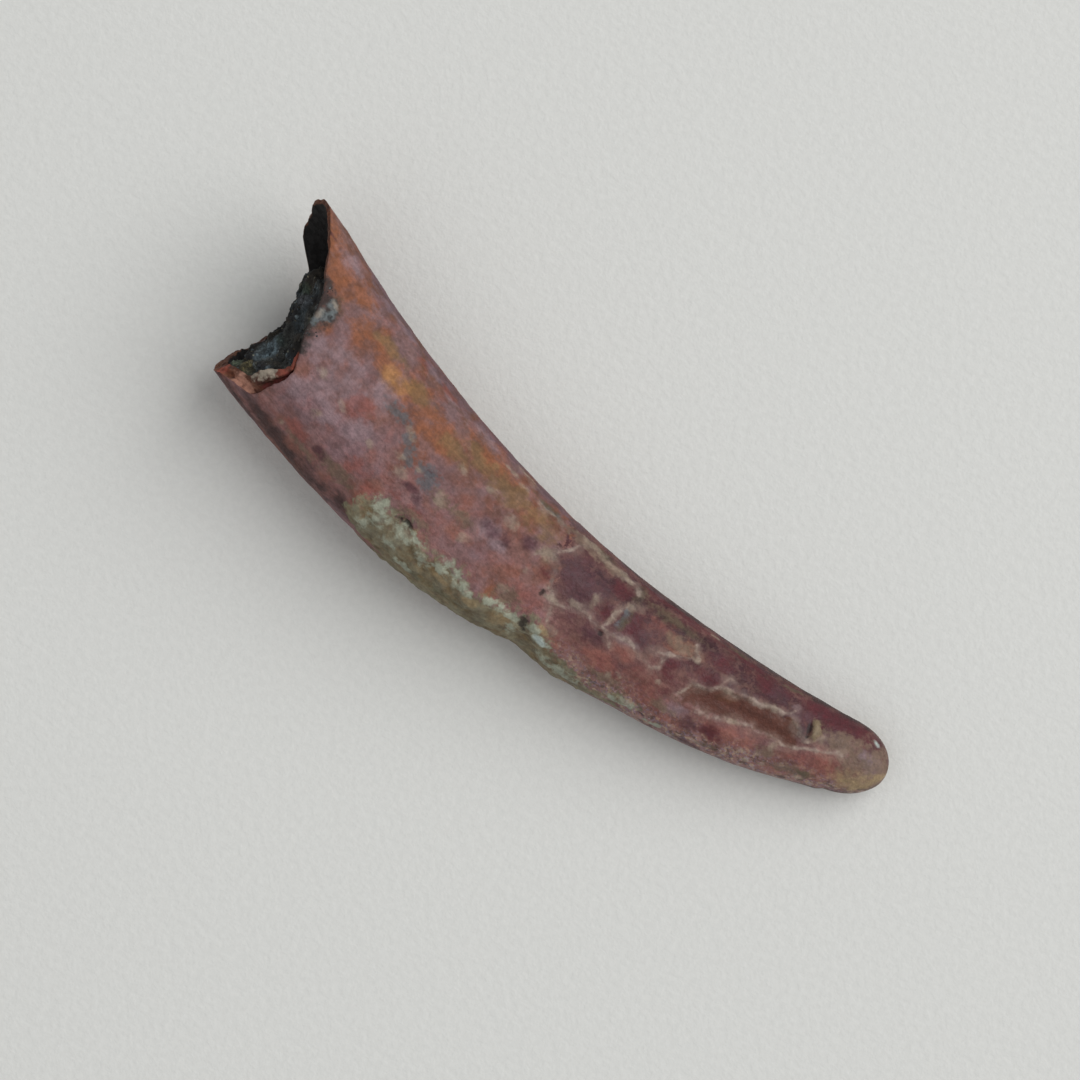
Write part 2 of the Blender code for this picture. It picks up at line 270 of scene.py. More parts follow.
# On the broken edge of the wall: a pink strip painted as a highlight on the end of the wall, a red facet,
# a pale bar of matrix and a dark slot.
BREAK_STAINS_AND_HIGHLIGHT = (
    Stain("flesh", "#D8A08A", 0.85, 0.34, 0.4, "fine_red"),
    Stain("facet", "#BE6452", 0.85, 0.3, 0.4, "mid_red"),
    Stain("bar", "#C2B4A2", 0.92, 0.22, 0.4, "fine_blue"),
    Stain("slot", "#823C36", 0.92, 0.22, 0.3, "fine_blue"),
)

# Where each one lies on the top, as (along, across, half length, half width).
MARKS = {
    "orange": (
        (-0.6, 3.7, 1.2, 0.9), (1.4, 3.1, 1.4, 0.6), (2.9, 3.4, 1.0, 0.5), (4.6, 2.6, 1.3, 0.6),
        (6.3, 2.4, 1.4, 0.5), (9.3, 2.4, 1.9, 0.6), (10.3, 1.6, 1.0, 0.3), (3.15, 0.95, 0.25, 0.5),
        (17.5, -1.6, 0.3, 0.4), (26.4, 1.35, 0.9, 0.35), (13.5, 3.0, 1.5, 0.4),
    ),
    "olive": (
        (6.0, 2.9, 1.0, 0.3), (8.6, 2.7, 0.7, 0.4), (11.7, 2.0, 0.9, 0.4), (12.8, 2.6, 1.2, 0.4),
        (15.4, 2.4, 1.4, 0.5), (17.3, 2.3, 1.1, 0.5), (13.75, 2.85, 0.25, 0.2), (15.55, 2.75, 0.35, 0.3),
        (29.6, 0.2, 0.6, 0.2), (33.0, 0.35, 0.4, 0.3),
    ),
    "gold": ((7.2, 2.15, 0.7, 0.4), (7.7, 2.45, 0.4, 0.3)),
    "lilac": (
        (3.7, 0.3, 0.6, 0.55), (4.5, 0.7, 0.6, 0.5), (5.3, -0.3, 0.9, 0.8), (4.6, -1.6, 0.7, 0.5),
        (6.1, 0.3, 1.2, 0.8), (7.7, -0.8, 0.9, 0.5), (7.3, 1.2, 0.7, 0.4), (6.7, -1.3, 0.5, 0.4),
        (8.3, 3.8, 0.6, 0.25), (9.7, 3.6, 0.5, 0.25), (4.8, 4.1, 1.6, 0.3), (1.0, 3.9, 1.0, 0.4),
        (12.6, 3.6, 0.7, 0.3), (15.8, 0.4, 0.5, 0.35), (16.5, 0.15, 0.4, 0.25), (24.2, 0.1, 0.5, 0.2),
        (27.8, -1.45, 0.6, 0.25), (33.0, 1.25, 0.25, 0.15), (37.45, -0.3, 0.3, 0.3), (36.9, 0.35, 0.2, 0.2),
        (37.4, 0.0, 0.4, 0.5),
    ),
    "rose": (
        (9.3, -1.9, 0.7, 0.4), (10.1, -2.2, 0.5, 0.25), (11.4, -1.55, 0.3, 0.2), (12.6, -1.45, 0.4, 0.2),
        (7.6, 3.75, 0.5, 0.25), (9.3, 3.75, 0.5, 0.2), (13.3, 3.75, 0.6, 0.15), (2.0, 1.9, 0.5, 0.3),
        (6.2, -3.0, 0.6, 0.4), (7.0, 0.1, 0.7, 0.4), (1.9, -4.2, 0.5, 0.4),
    ),
    "brick": (
        (23.6, -1.4, 1.0, 0.5), (26.2, -1.7, 1.2, 0.45), (24.4, -0.5, 0.7, 0.3), (28.0, -1.95, 0.7, 0.3),
        (25.2, 1.6, 0.6, 0.3), (30.4, -1.3, 1.2, 0.5), (35.0, -0.9, 1.2, 0.6), (33.2, -1.9, 0.8, 0.3),
        (18.9, -1.1, 0.8, 0.5),
    ),
    "plum": (
        (20.6, 1.3, 1.1, 0.8), (21.8, 1.7, 0.5, 0.4), (17.6, 1.2, 0.4, 0.3), (22.6, -0.5, 0.6, 0.3),
        (24.6, 0.6, 0.7, 0.4), (16.0, 0.6, 0.8, 0.3), (23.9, 2.85, 0.7, 0.2), (29.6, 0.78, 0.22, 0.14),
        (28.7, -1.7, 0.45, 0.3), (29.1, -2.5, 0.7, 0.25), (33.4, 1.0, 0.8, 0.35), (34.6, 1.5, 1.0, 0.5),
        (31.8, 1.5, 0.7, 0.4), (33.55, 0.5, 0.2, 0.4), (7.6, -2.8, 0.4, 0.2), (21.0, 0.6, 0.7, 0.4),
        (11.5, -0.72, 0.35, 0.14), (11.7, 0.42, 0.22, 0.12), (12.2, -1.0, 0.22, 0.16),
        (-0.6, 3.8, 0.8, 0.15),
    ),
    "crimson": (
        (22.8, 2.1, 0.6, 0.4), (22.6, 0.7, 0.4, 0.4), (24.1, 1.1, 0.5, 0.8), (25.6, 2.65, 1.9, 0.3),
        (19.1, 0.6, 0.3, 0.3), (29.9, -1.6, 0.5, 0.3), (31.0, 1.7, 1.0, 0.35), (28.8, 1.6, 0.6, 0.4),
        (36.1, 1.3, 1.3, 0.6), (34.9, 1.35, 1.1, 0.6), (34.0, 1.5, 0.8, 0.3), (28.6, 0.6, 0.7, 0.3),
        (26.6, 0.2, 0.5, 0.3), (29.8, 2.15, 1.5, 0.2),
    ),
    # Painted shade along the crown's hollow edge and the root's bulging edge, and a dark patch on the crown.
    "grime": (
        (25.5, 2.8, 1.8, 0.3), (28.4, 2.6, 1.8, 0.3), (31.2, 2.32, 1.8, 0.3), (33.8, 2.05, 1.6, 0.35),
        (35.8, 1.75, 1.2, 0.35), (22.5, 3.05, 1.6, 0.15), (3.4, -4.25, 2.0, 0.42), (7.2, -4.0, 2.3, 0.85),
        (9.9, -3.65, 0.7, 0.5), (5.0, -3.9, 1.6, 0.55), (34.0, 1.95, 1.0, 0.25), (32.6, 0.1, 0.9, 0.35),
        (15.2, -3.4, 1.6, 0.3),
    ),
    "slate": (
        (9.9, 0.8, 0.3, 0.3), (10.25, 0.4, 0.35, 0.3), (10.5, 0.05, 0.3, 0.25), (11.7, 0.3, 0.7, 0.35),
        (8.5, 1.3, 0.8, 0.25), (11.9, -0.2, 0.4, 0.25), (17.6, 3.0, 0.6, 0.15), (23.45, 0.95, 0.2, 0.5),
    ),
    "tan": (
        (18.5, 1.25, 0.35, 0.25), (19.8, 2.75, 1.3, 0.3), (21.6, 2.6, 0.9, 0.25), (26.5, 1.4, 0.75, 0.3),
        (35.7, 0.45, 1.2, 0.45), (36.6, -0.2, 0.9, 0.6), (38.2, -0.2, 1.2, 2.4), (37.1, -0.9, 0.8, 0.6),
        (13.0, -0.1, 0.5, 0.3), (14.3, -0.05, 0.8, 0.25), (18.3, -1.5, 0.6, 0.4), (6.9, -3.3, 0.8, 0.2),
        (8.7, -2.8, 0.9, 0.35), (33.8, -1.6, 0.9, 0.3), (12.8, -1.6, 0.7, 0.2), (32.5, -1.2, 0.4, 0.2),
        (24.3, -1.9, 0.8, 0.25), (27.2, -1.6, 0.5, 0.2),
    ),
    "moss": (
        (25.6, 2.15, 1.5, 0.25), (23.5, 2.35, 0.3, 0.5), (20.8, 2.9, 0.6, 0.2), (17.2, 3.1, 0.8, 0.15),
        (32.5, 1.95, 0.5, 0.12), (29.2, 2.3, 0.6, 0.12), (23.6, 0.8, 0.2, 0.5), (30.0, -2.15, 0.4, 0.2),
        (34.5, -1.5, 0.4, 0.2), (2.6, 1.9, 0.4, 0.5), (2.5, 0.8, 0.3, 0.3),
    ),
    "ochre": (
        (36.9, -1.0, 1.0, 0.5), (37.9, -0.5, 0.3, 0.5), (20.75, -1.6, 0.25, 0.12), (17.2, -2.65, 0.4, 0.2),
        (18.8, -2.45, 0.7, 0.35), (15.6, -2.8, 0.4, 0.2),
    ),
    "matrix": (
        (1.95, 1.85, 0.65, 0.6), (2.7, 1.55, 0.45, 0.55), (2.15, 1.2, 0.6, 0.7), (2.45, 0.55, 0.55, 0.6),
        (1.35, 2.45, 0.45, 0.25), (2.85, 0.1, 0.35, 0.45), (3.2, -0.35, 0.3, 0.4),
    ),
    "pale": (
        (2.55, 1.98, 0.26, 0.24), (2.8, 1.62, 0.2, 0.28), (2.52, 0.92, 0.2, 0.26), (2.45, 1.35, 0.2, 0.18),
    ),
    "lime": (
        (11.2, -2.3, 0.4, 0.3), (11.5, -2.7, 0.4, 0.35), (11.15, -3.3, 0.25, 0.4), (12.75, -2.5, 0.3, 0.25),
        (13.4, -2.25, 0.4, 0.2), (12.6, -3.2, 0.3, 0.25), (13.7, -3.5, 0.4, 0.2), (14.3, -2.7, 0.35, 0.25),
        (15.3, -2.05, 0.35, 0.2), (15.2, -2.45, 0.4, 0.2), (16.0, -2.15, 0.3, 0.2),
        (16.55, -2.4, 0.4, 0.25), (17.95, -2.1, 0.35, 0.2), (18.5, -2.05, 0.3, 0.15),
        (19.1, -2.05, 0.3, 0.2), (19.35, -2.6, 0.25, 0.35), (20.35, -1.85, 0.3, 0.2),
        (20.8, -2.1, 0.45, 0.22), (25.0, -2.5, 0.3, 0.2), (25.7, -2.35, 0.4, 0.2), (27.2, -2.5, 0.4, 0.15),
        (22.2, -2.85, 1.0, 0.3), (12.9, -2.45, 0.5, 0.3), (20.6, -2.15, 0.4, 0.25),
    ),
    # Along the root's hollow edge: a violet tone of its own, made darker as painted shade.
    "violet": (
        (4.2, 4.35, 2.6, 0.95), (8.9, 4.05, 2.4, 0.8), (13.4, 3.8, 2.2, 0.7), (17.2, 3.45, 1.6, 0.6),
    ),
    # The pink strip: a painted highlight on the end of the wall.
    "flesh": ((3.25, -3.78, 0.55, 0.28), (2.75, -3.9, 0.4, 0.26)),
    "facet": ((3.45, -1.15, 0.45, 0.4), (3.55, -1.75, 0.3, 0.4), (1.8, -4.3, 0.3, 0.4)),
    "bar": ((3.25, -2.35, 0.26, 0.36), (3.05, -2.8, 0.26, 0.36), (2.85, -3.25, 0.26, 0.3)),
    "slot": ((3.93, -1.85, 0.16, 0.36), (3.78, -2.5, 0.16, 0.36), (3.66, -3.1, 0.16, 0.28)),
    "boss": ((34.22, 0.57, 0.26, 0.42),),
    "speck": (
        (9.6, 1.2, 0.22, 0.14), (10.05, 1.02, 0.18, 0.1), (10.1, 0.0, 0.22, 0.12), (10.7, -0.5, 0.28, 0.18),
        (11.3, 0.12, 0.22, 0.12), (6.1, -1.7, 0.22, 0.2), (4.8, -0.3, 0.3, 0.18), (6.6, -0.5, 0.25, 0.12),
        (5.3, -3.3, 0.16, 0.12), (8.8, -0.6, 0.22, 0.15), (12.7, 1.7, 0.35, 0.15), (14.5, 1.95, 0.25, 0.15),
        (16.3, 1.4, 0.35, 0.22), (15.6, 3.0, 0.3, 0.12), (14.6, 3.2, 0.45, 0.12), (15.4, 3.52, 0.6, 0.08),
        (17.4, 2.95, 0.55, 0.08), (12.9, -0.1, 0.25, 0.2), (18.0, -1.3, 0.22, 0.18),
        (18.3, 0.15, 0.16, 0.12), (21.0, -1.4, 0.22, 0.18), (21.9, 0.95, 0.22, 0.25),
        (22.6, 2.55, 0.35, 0.1), (26.5, -0.75, 0.14, 0.12), (24.3, -1.7, 0.12, 0.16),
        (24.7, -1.4, 0.14, 0.1), (25.7, -2.3, 0.3, 0.12), (27.8, 2.45, 0.3, 0.08),
        (31.85, 0.73, 0.38, 0.13), (30.4, -0.66, 0.3, 0.11), (32.6, -0.9, 0.2, 0.18),
        (32.1, -1.4, 0.2, 0.12), (31.8, -2.0, 0.16, 0.12), (32.5, -1.85, 0.16, 0.1),
        (29.4, -2.25, 0.2, 0.12), (31.3, -1.65, 0.2, 0.14), (34.3, -1.75, 0.24, 0.12),
        (2.4, 1.25, 0.14, 0.2), (2.6, 2.1, 0.2, 0.12), (15.0, -0.7, 0.25, 0.2), (20.2, 2.9, 0.8, 0.22),
        (21.6, 2.72, 0.8, 0.2), (18.6, 1.35, 0.35, 0.22), (20.1, -0.25, 0.3, 0.14),
        (23.5, 1.62, 0.22, 0.18), (29.5, 0.55, 0.35, 0.12), (27.5, 1.12, 0.2, 0.14),
        (22.95, 0.85, 0.16, 0.35), (21.2, 0.28, 0.35, 0.14),
    ),
    # Painted shade in small dents; the one beside the boss is a crescent of painted shadow.
    "pit": (
        (12.25, -2.2, 0.16, 0.12), (12.65, -2.08, 0.24, 0.09), (19.65, -1.9, 0.22, 0.25),
        (19.9, -2.15, 0.16, 0.14), (19.5, -0.3, 0.14, 0.14), (33.88, 0.56, 0.12, 0.4),
        (22.9, -0.2, 0.16, 0.12), (26.5, -2.4, 0.18, 0.08), (28.3, 2.72, 0.2, 0.08), (2.85, 1.5, 0.12, 0.1),
    ),
    "chalk": ((37.26, 1.06, 0.13, 0.17), (20.85, -2.08, 0.3, 0.16)),
}

# Pale mineral in the cracks of the enamel and along the edges of its spalls, as runs of (along, across).
VEIN_COLOUR = "#A08E82"
VEINS = (
    ((19.7, -0.3), (20.3, -0.38), (20.9, -0.12), (21.2, 0.25), (21.9, 0.3), (22.25, 0.06), (22.7, 0.02)),
    ((22.7, 0.02), (22.92, 0.4), (22.95, 0.95), (23.2, 1.4), (23.5, 1.75), (23.9, 1.88)),
    ((22.8, 0.1), (23.2, 0.02), (23.45, -0.35), (23.6, -0.5)),
    ((23.3, 0.02), (24.0, 0.12), (24.6, 0.02), (24.95, -0.2), (25.9, -0.32), (26.15, -0.05), (26.1, 0.5)),
    ((18.1, 0.95), (18.45, 1.3), (18.8, 1.52), (19.2, 2.0), (19.6, 2.4), (20.1, 2.75)),
    ((18.8, 1.5), (19.25, 1.05), (19.45, 0.6), (19.6, 0.1)),
    ((19.9, 0.05), (20.1, -0.3), (20.35, -0.8), (20.6, -1.2)),
    ((22.1, 2.45), (22.7, 2.62), (23.1, 2.75), (23.3, 2.45), (23.55, 2.2)),
    ((25.4, 0.5), (26.0, 0.62), (26.5, 0.8), (27.1, 1.0), (27.6, 1.16), (27.35, 1.45), (27.2, 1.75)),
    ((27.6, -0.8), (27.68, -0.4), (27.85, -0.05), (28.4, 0.12), (28.9, 0.28), (29.2, 0.56), (29.9, 0.5)),
    ((29.9, 0.5), (30.5, 0.6), (31.0, 0.6), (31.5, 0.7), (32.1, 0.8), (32.5, 0.78), (33.0, 1.15)),
    ((29.2, 0.56), (29.25, 0.9), (29.5, 1.08), (29.85, 1.02), (29.95, 0.75)),
    ((28.7, -0.95), (29.4, -0.92), (30.1, -0.74), (30.7, -0.52), (31.3, -0.45), (31.6, -0.62)),
    ((31.6, -0.62), (32.3, -0.56), (33.0, -0.62), (33.5, -0.55), (34.2, -0.36), (35.0, -0.16), (35.9, -0.02)),
    ((33.1, 0.72), (33.2, 0.42), (33.5, 0.12), (33.95, 0.0), (34.4, 0.16), (34.7, 0.42)),
    ((14.9, 3.56), (15.5, 3.46), (15.9, 3.38)),
    ((16.7, 2.92), (17.4, 2.86), (18.2, 2.95)),
)
VEIN_REACH = 0.6
VEIN_HALF_WIDTH = 0.055
VEIN_MIDDLE = 1.0 - VEIN_HALF_WIDTH / VEIN_REACH
VEIN_SOFT = 0.14
VEIN_BREAKUP = 0.2
VEIN_STRENGTH = (0.0, 0.9, 0.78, 0.08)
VEIN_HAZE = (0.3, 0.5, 0.2, 0.68)
VEIN_HEIGHT = 0.014
VEIN_RISES = (VEIN_MIDDLE - 0.2, VEIN_MIDDLE + 0.1)

# ----------------------------------------
# The finish. Grains are noises of a size in millimetres and a detail. Washes and shades are laid by them.
# An edge is how soft it is, how far its grain breaks it up, and how strongly what lies within it covers.

# Fossil dentine and enamel, stained by iron and manganese in the ground, then weathered out and brushed.
# The root is matt and mottled in rose brown, the crown is darker and keeps a soft natural polish.
TOOTH_GRAINS = {"coarse": (2.2, 2.0), "mid": (0.8, 3.0), "fine": (0.32, 2.0), "dust": (0.15, 1.0)}
STREAK_GRAINS = {"streak": (0.18, 2.0)}
STREAK_STRETCH = (0.12, 1.0, 1.0)
GRAIN_SPAN = (0.32, 0.68)
GRAIN_ROUGHNESS = 0.6
BUMP_STRENGTH = 0.5
CROWN_EDGING = (0.2, 0.8, 1.0)
CRUST_EDGING = (0.34, 0.6, 0.88)
SPALL_EDGING = (0.08, 0.25, 0.85)
WASH_SPAN = (0.3, 0.95)
FADED_OUT = 0.8
# The root's hollow side: its own more orange tone, made darker as painted shade.
ROOT_HOLLOW_TONE_AND_SHADE = "#6C4636"
ROOT_HOLLOW_SHADE_SPAN = (-0.45, 0.9)
# The crown's hollow side is darker as painted shade, and its bulging side lighter as painted light.
CROWN_HOLLOW_SIDE_SHADE = "#3A141B"
CROWN_HOLLOW_SHADE_SPAN = (-0.45, 0.7)
CROWN_BULGING_SIDE_LIGHT = "#A68078"
CROWN_BULGING_LIGHT_SPAN = (-0.35, -0.85)
CROWN_FLECKS = (
    ("#B49C84", "fine_blue", 0.55), ("#33281F", "fine_red", 0.55), ("#8C8098", "dust_green", 0.35),
)
FLECK_SPAN = (0.62, 0.9)
ROOT_WASHES = (
    ("#8E583C", "coarse_red", 0.4), ("#84707A", "coarse_blue", 0.4), ("#5A382E", "mid_green", 0.28),
    ("#96787A", "mid_blue", 0.3), ("#7C4234", "mid_red", 0.25), ("#8C7672", "fine_green", 0.16),
)
CROWN_WASHES = (
    ("#7A3E38", "coarse_red", 0.36), ("#503038", "coarse_green", 0.32), ("#825A4C", "mid_green", 0.3),
    ("#4E2830", "mid_red", 0.34), ("#401C1E", "mid_blue", 0.28), ("#98766A", "fine_green", 0.24),
    ("#3C2022", "fine_blue", 0.24),
)
CRUST_TOP = "#8C8B74"
CRUST_TOP_LIFT = (-0.06, 0.16, 0.85)
CRUST_WASHES = (
    ("#604A2A", "coarse_green", 0.45), ("#463E2A", "mid_blue", 0.35), ("#84693C", "mid_red", 0.35),
)
FRACTURE_WASHES = (("#8C5236", "mid_red", 0.6), ("#2E1A18", "mid_blue", 0.5), ("#9A705A", "fine_red", 0.4))
STREAK_SHADES = (("streak_red", 0.06),)
TOOTH_SHADES = (("mid_red", 0.08), ("fine_blue", 0.1), ("dust_red", 0.07))
CRUST_COLOUR = "#6A5E42"
SPALL_COLOUR = "#5A3225"
FRACTURE_COLOUR = "#63382A"
# Painted shade: near black inside the cavity, and laid a third of the way over the broken edge.
CAVITY_SHADE_COLOUR = "#120F0F"
CAVITY_SHADE_EDGE = (0.95, 1.08)
DENTINE_IOR = 1.42
CRUST_GLOSS = 0.9
GLOSS_UNEVEN = 0.1
TOOTH_BUMP = 0.022
STREAK_BUMP = 0.15

# The sand: its relief, its tones with their shares, and its finish. A patch of another tone has its place and
# half sizes as a mark has, and a spilt patch has its place and its spread along and across.
PLUG_SINK = 0.03
FACE_SINK = 0.18
PLUG_GRAIN = 0.26
PLUG_GRAIN_HEIGHT = 0.1
PLUG_ROUGH = 0.1
PLUG_ROUGH_SIZE = 0.5
GRAIN_SEED = 11
GRAIN_REACH = 0.94
GRAIN_DENTS = 0.5
DENTS_ACROSS = 1.3
GRAIN_STRETCH = (0.65, 1.35)
GRAIN_SINK = 0.75
SMALL_GRAINS = 2.2
SAND_TONES = (
    ("#161517", 0.24), ("#201F21", 0.22), ("#2C2B2D", 0.14), ("#443E32", 0.12), ("#524A38", 0.07),
    ("#525A60", 0.1), ("#727C80", 0.06), ("#918C78", 0.03), ("#2A2A30", 0.06),
)
SAND_PATCHES = (
    ("#72828A", 2.35, -1.8, 0.4, 0.75), ("#5E5638", 2.5, -3.05, 0.4, 0.4),
    ("#56604E", 1.95, -3.25, 0.25, 0.35), ("#7C807A", 2.55, 1.95, 0.35, 0.3),
    ("#5C5C5C", 2.5, 1.3, 0.55, 0.55), ("#7E7C66", 2.5, 0.85, 0.3, 0.25),
    ("#3E4A3E", 0.95, 1.35, 0.35, 0.35), ("#4A4A4E", 1.4, 1.0, 0.45, 0.35),
    ("#3C463C", 2.4, -0.95, 0.35, 0.3),
)
SPILL_PATCHES = (
    (2.0, 1.75, 0.18, 0.25), (2.25, 1.1, 0.18, 0.3), (1.7, 2.15, 0.15, 0.15), (2.75, 0.35, 0.13, 0.22),
)
PATCH_SPAN = (0.5, 1.2)
SPILL_GRAINS = 45
SPILL_FINENESS = 0.5
SPILL_DEPTH = 0.02
SAND_GRAINS = {"coarse": (1.3, 1.0), "mid": (0.45, 2.0), "dust": (0.1, 1.0)}
SAND_WASHES = (
    ("#4C5A60", "coarse_red", 0.35), ("#3C3222", "coarse_blue", 0.4), ("#0A090A", "mid_red", 0.6),
)
SAND_SHADES = (("mid_green", 0.25), ("dust_red", 0.3))
SAND_GLOSS = 0.9
SAND_IOR = 1.5
SAND_BUMP = 0.02

# The stage. The camera looks straight down on the place named, in millimetres, turned round by the angle.
# A lamp lies at (turn from the view's right, elevation, distance, size), in metres.
VIEW_TURN = math.radians(37.59)
VIEW_MIDDLE = (-1.01, -0.98)
MIDDLE_HEIGHT = 3.5
SENSOR = 36.0
WINDOW_AT = (math.radians(18), math.radians(47), 0.75, 0.9)
CEILING_AT = (math.radians(-150), math.radians(66), 1.0, 1.2)
NEAREST_SEEN = 0.01
ROOM_COLOUR = "#F4F6F8"
CARD_GRAINS = {"fibre": (0.35, 2.0)}
CARD_SHADES = (("fibre_red", 0.015),)
CARD_GLOSS = 0.85
CARD_IOR = 1.45
CARD_BUMP = 0.02

# ----------------------------------------
# Working out places and fields over the tooth, all in millimetres.

Surface = namedtuple("Surface", "along angle across up girth kind")
OUTSIDE, FRACTURE, INSIDE = 0.0, 1.0, 2.0


def blend(low, high, x):
    """0 below low, 1 above high, and a smooth step between."""
    t = np.clip((x - low) / (high - low), 0.0, 1.0)
    return t * t * (3.0 - 2.0 * t)


def through(points, x):
    """The value at x of the smooth curve through points, a row of (x, value) pairs."""
    xs, ys = np.array(points, float).T
    last = len(xs) - 1
    i = np.clip(np.searchsorted(xs, x, side="left") - 1, 0, last - 1)
    before = np.maximum(i - 1, 0)
    after = np.minimum(i + 2, last)
    slope0 = (ys[i + 1] - ys[before]) / (xs[i + 1] - xs[before])
    slope1 = (ys[after] - ys[i]) / (xs[after] - xs[i])
    step = xs[i + 1] - xs[i]
    t = np.clip((x - xs[i]) / step, 0.0, 1.0)
    rest = 1.0 - t
    ends = ys[i] * rest * rest * (1.0 + 2.0 * t) + ys[i + 1] * t * t * (3.0 - 2.0 * t)
    return ends + step * t * rest * (slope0 * rest - slope1 * t)


def noise_over(points, size, octaves=1, shift=0.0):
    """Smooth noise, about -1 to 1, over places in millimetres, with lumps about size across.

    Another shift gives another noise of the same kind, so that no two of them follow each other.
    """
    places = (points / size + shift).reshape(-1, 3).tolist()
    values = [noise.fractal(place, 1.0, 2.0, octaves) for place in places]
    return np.array(values).reshape(points.shape[:-1])


def granules_over(points, size, shift=0.0):
    """Rounded granules, 0 between them and 1 at their tops, about size across."""
    places = (points / size + shift).reshape(-1, 3).tolist()
    nearest = np.array([noise.voronoi(place)[0][0] for place in places])
    return np.clip(1.0 - nearest * nearest * GRANULE_STEEPNESS, 0.0, 1.0).reshape(points.shape[:-1])


def together(*values):
    """Values side by side in the last direction, such as the three that make a place."""
    return np.stack(np.broadcast_arrays(*values), axis=-1)


def half_depth(along):
    return DEPTH_TO_WIDTH * through(HOLLOW_SIDE, along)


def half_width(along, angle):
    return np.where(np.cos(angle) > 0.0, through(HOLLOW_SIDE, along), through(BULGING_SIDE, along))


def rounded_end(along, start, end):
    """The share of the full section that is left at this distance, where a round end closes at end."""
    t = np.clip((along - start) / (end - start), 0.0, 1.0)
    return np.sqrt(1.0 - t * t)


def tip_taper(along):
    return rounded_end(along, AXIS_LENGTH - TIP_ROUNDING, AXIS_LENGTH)


def section(along, angle, inset=0.0):
    """(across, up) from the axis to the surface, or to a surface that lies inset beneath it."""
    taper = tip_taper(along)
    across = (half_width(along, angle) * taper - inset) * np.cos(angle)
    up = (half_depth(along) * taper - inset) * np.sin(angle)
    return across, up


def placed(along, across, up):
    """Points of the frame, in millimetres. None lies beneath the floor."""
    heading = ROOT_HEADING + along / CURVE_RADIUS
    x = ROOT_X + CURVE_RADIUS * (np.sin(heading) - math.sin(ROOT_HEADING)) - np.sin(heading) * across
    y = ROOT_Y + CURVE_RADIUS * (math.cos(ROOT_HEADING) - np.cos(heading)) + np.cos(heading) * across
    rise = np.maximum((RISE_FROM - along) / RISE_FROM, 0.0)
    z = half_depth(along) + ROOT_RISE * rise * rise + up
    return together(x, y, np.maximum(z, 0.0))


def around(angle):
    """A circle of points, for noise that closes on itself round the tooth."""
    return together(np.cos(angle), np.sin(angle), 1.0)


def break_along(angle):
    """Where the wall ends at this angle, without the small teeth of its rim."""
    ragged = noise_over(around(angle) * RAGGED_STEPS, 1.0)
    return through(BREAK, np.degrees(angle)) + RAGGED_HEIGHT * ragged


def rim_along(angle):
    rim = break_along(angle)
    for size, height in RIM_TEETH:
        rim = rim + height * noise_over(around(angle) * RIM_RADIUS, size, 2, 5.3)
    return rim


def ledge(angle):
    return np.maximum(through(LEDGE, np.degrees(angle)), 0.0)


def inner_lip(angle):
    return break_along(angle) + LIP - ledge(angle)


def wall(angle):
    share = (1.0 - np.cos(angle)) / 2.0
    return WALL_HOLLOW_SIDE + (WALL_BULGING_SIDE - WALL_HOLLOW_SIDE) * share


def solid_relief(along, across, up):
    """The low relief that the solid has too."""
    height = np.zeros_like(along)
    for patches, here in ((TOP_RELIEF, up > 0.0), (UNDER_RELIEF, up <= 0.0)):
        for centre, offset, length, width, rise in patches:
            reach = np.hypot((along - centre) / length, (across - offset) / width)
            height = height + here * rise * (1.0 - blend(PATCH_CORE, PATCH_EDGE, reach))
    swell = noise_over(together(along, across, up), SWELL_SIZE)
    return (height + SWELL_HEIGHT * swell) * blend(0.0, SIDE_BAND, np.abs(up))


def wear(along, angle):
    """The depth of the worn flat on the bulging side of the tip."""
    worn = blend(WEAR_FROM - WEAR_ONSET, WEAR_FROM, along) * (1.0 - blend(WEAR_TO, AXIS_LENGTH, along))
    return WEAR_DEPTH * worn * np.maximum(-np.cos(angle), 0.0) ** WEAR_NARROWNESS


def shaken(surface):
    """The surface with its places shifted a little, so that a mark laid on them has a natural shape."""
    straight = together(surface.along, surface.across, surface.up)
    along, aside = surface.along, np.zeros_like(surface.along)
    for size, reach in SHAKES:
        along = along + reach * noise_over(straight, size, 1, 9.1)
        aside = aside + reach * noise_over(straight, size, 1, 4.7)
    return surface._replace(along=along, angle=surface.angle + aside / surface.girth)


def angle_at(along, across):
    """The angle of the place on the top that is seen at this distance across."""
    side = half_width(along, np.where(across > 0.0, 0.0, math.pi))
    side = side * np.maximum(tip_taper(along), SMALLEST_TAPER)
    return np.arccos(np.clip(across / side, -FARTHEST_ACROSS, FARTHEST_ACROSS))


def way_round(surface, angle):
    """The signed distance round the section from an angle to each point of the surface."""
    return surface.girth * ((angle - surface.angle + math.pi) % (2.0 * math.pi) - math.pi)


def both_sides(marks):
    """(along, angle, half length, half width) of the marks on the top and of their like on the underside.

    Those beneath are shifted along by an uneven amount, so that the two sides don't look alike.
    """
    for along, across, length, width in marks:
        angle = float(angle_at(np.array(along), np.array(across)))
        yield along, angle, length, width
        yield along + UNDER_SHIFT * math.sin(UNDER_TURN * along), angle - math.pi, length, width


def part_of(surface, low, high):
    """The points that lie between two distances along, and which those are."""
    near = (surface.along > low) & (surface.along < high)
    return near, Surface(*(values[near] for values in surface))


def closeness(surface, marks):
    """1 in the middle of a mark, 0.5 at its edge and 0 at twice its size."""
    close = np.zeros_like(surface.along)
    for along, angle, length, width in both_sides(marks):
        near, here = part_of(surface, along - 2.0 * length, along + 2.0 * length)
        reach = np.hypot((here.along - along) / length, way_round(here, angle) / width)
        close[near] = np.maximum(close[near], 1.0 - reach / 2.0)
    return close


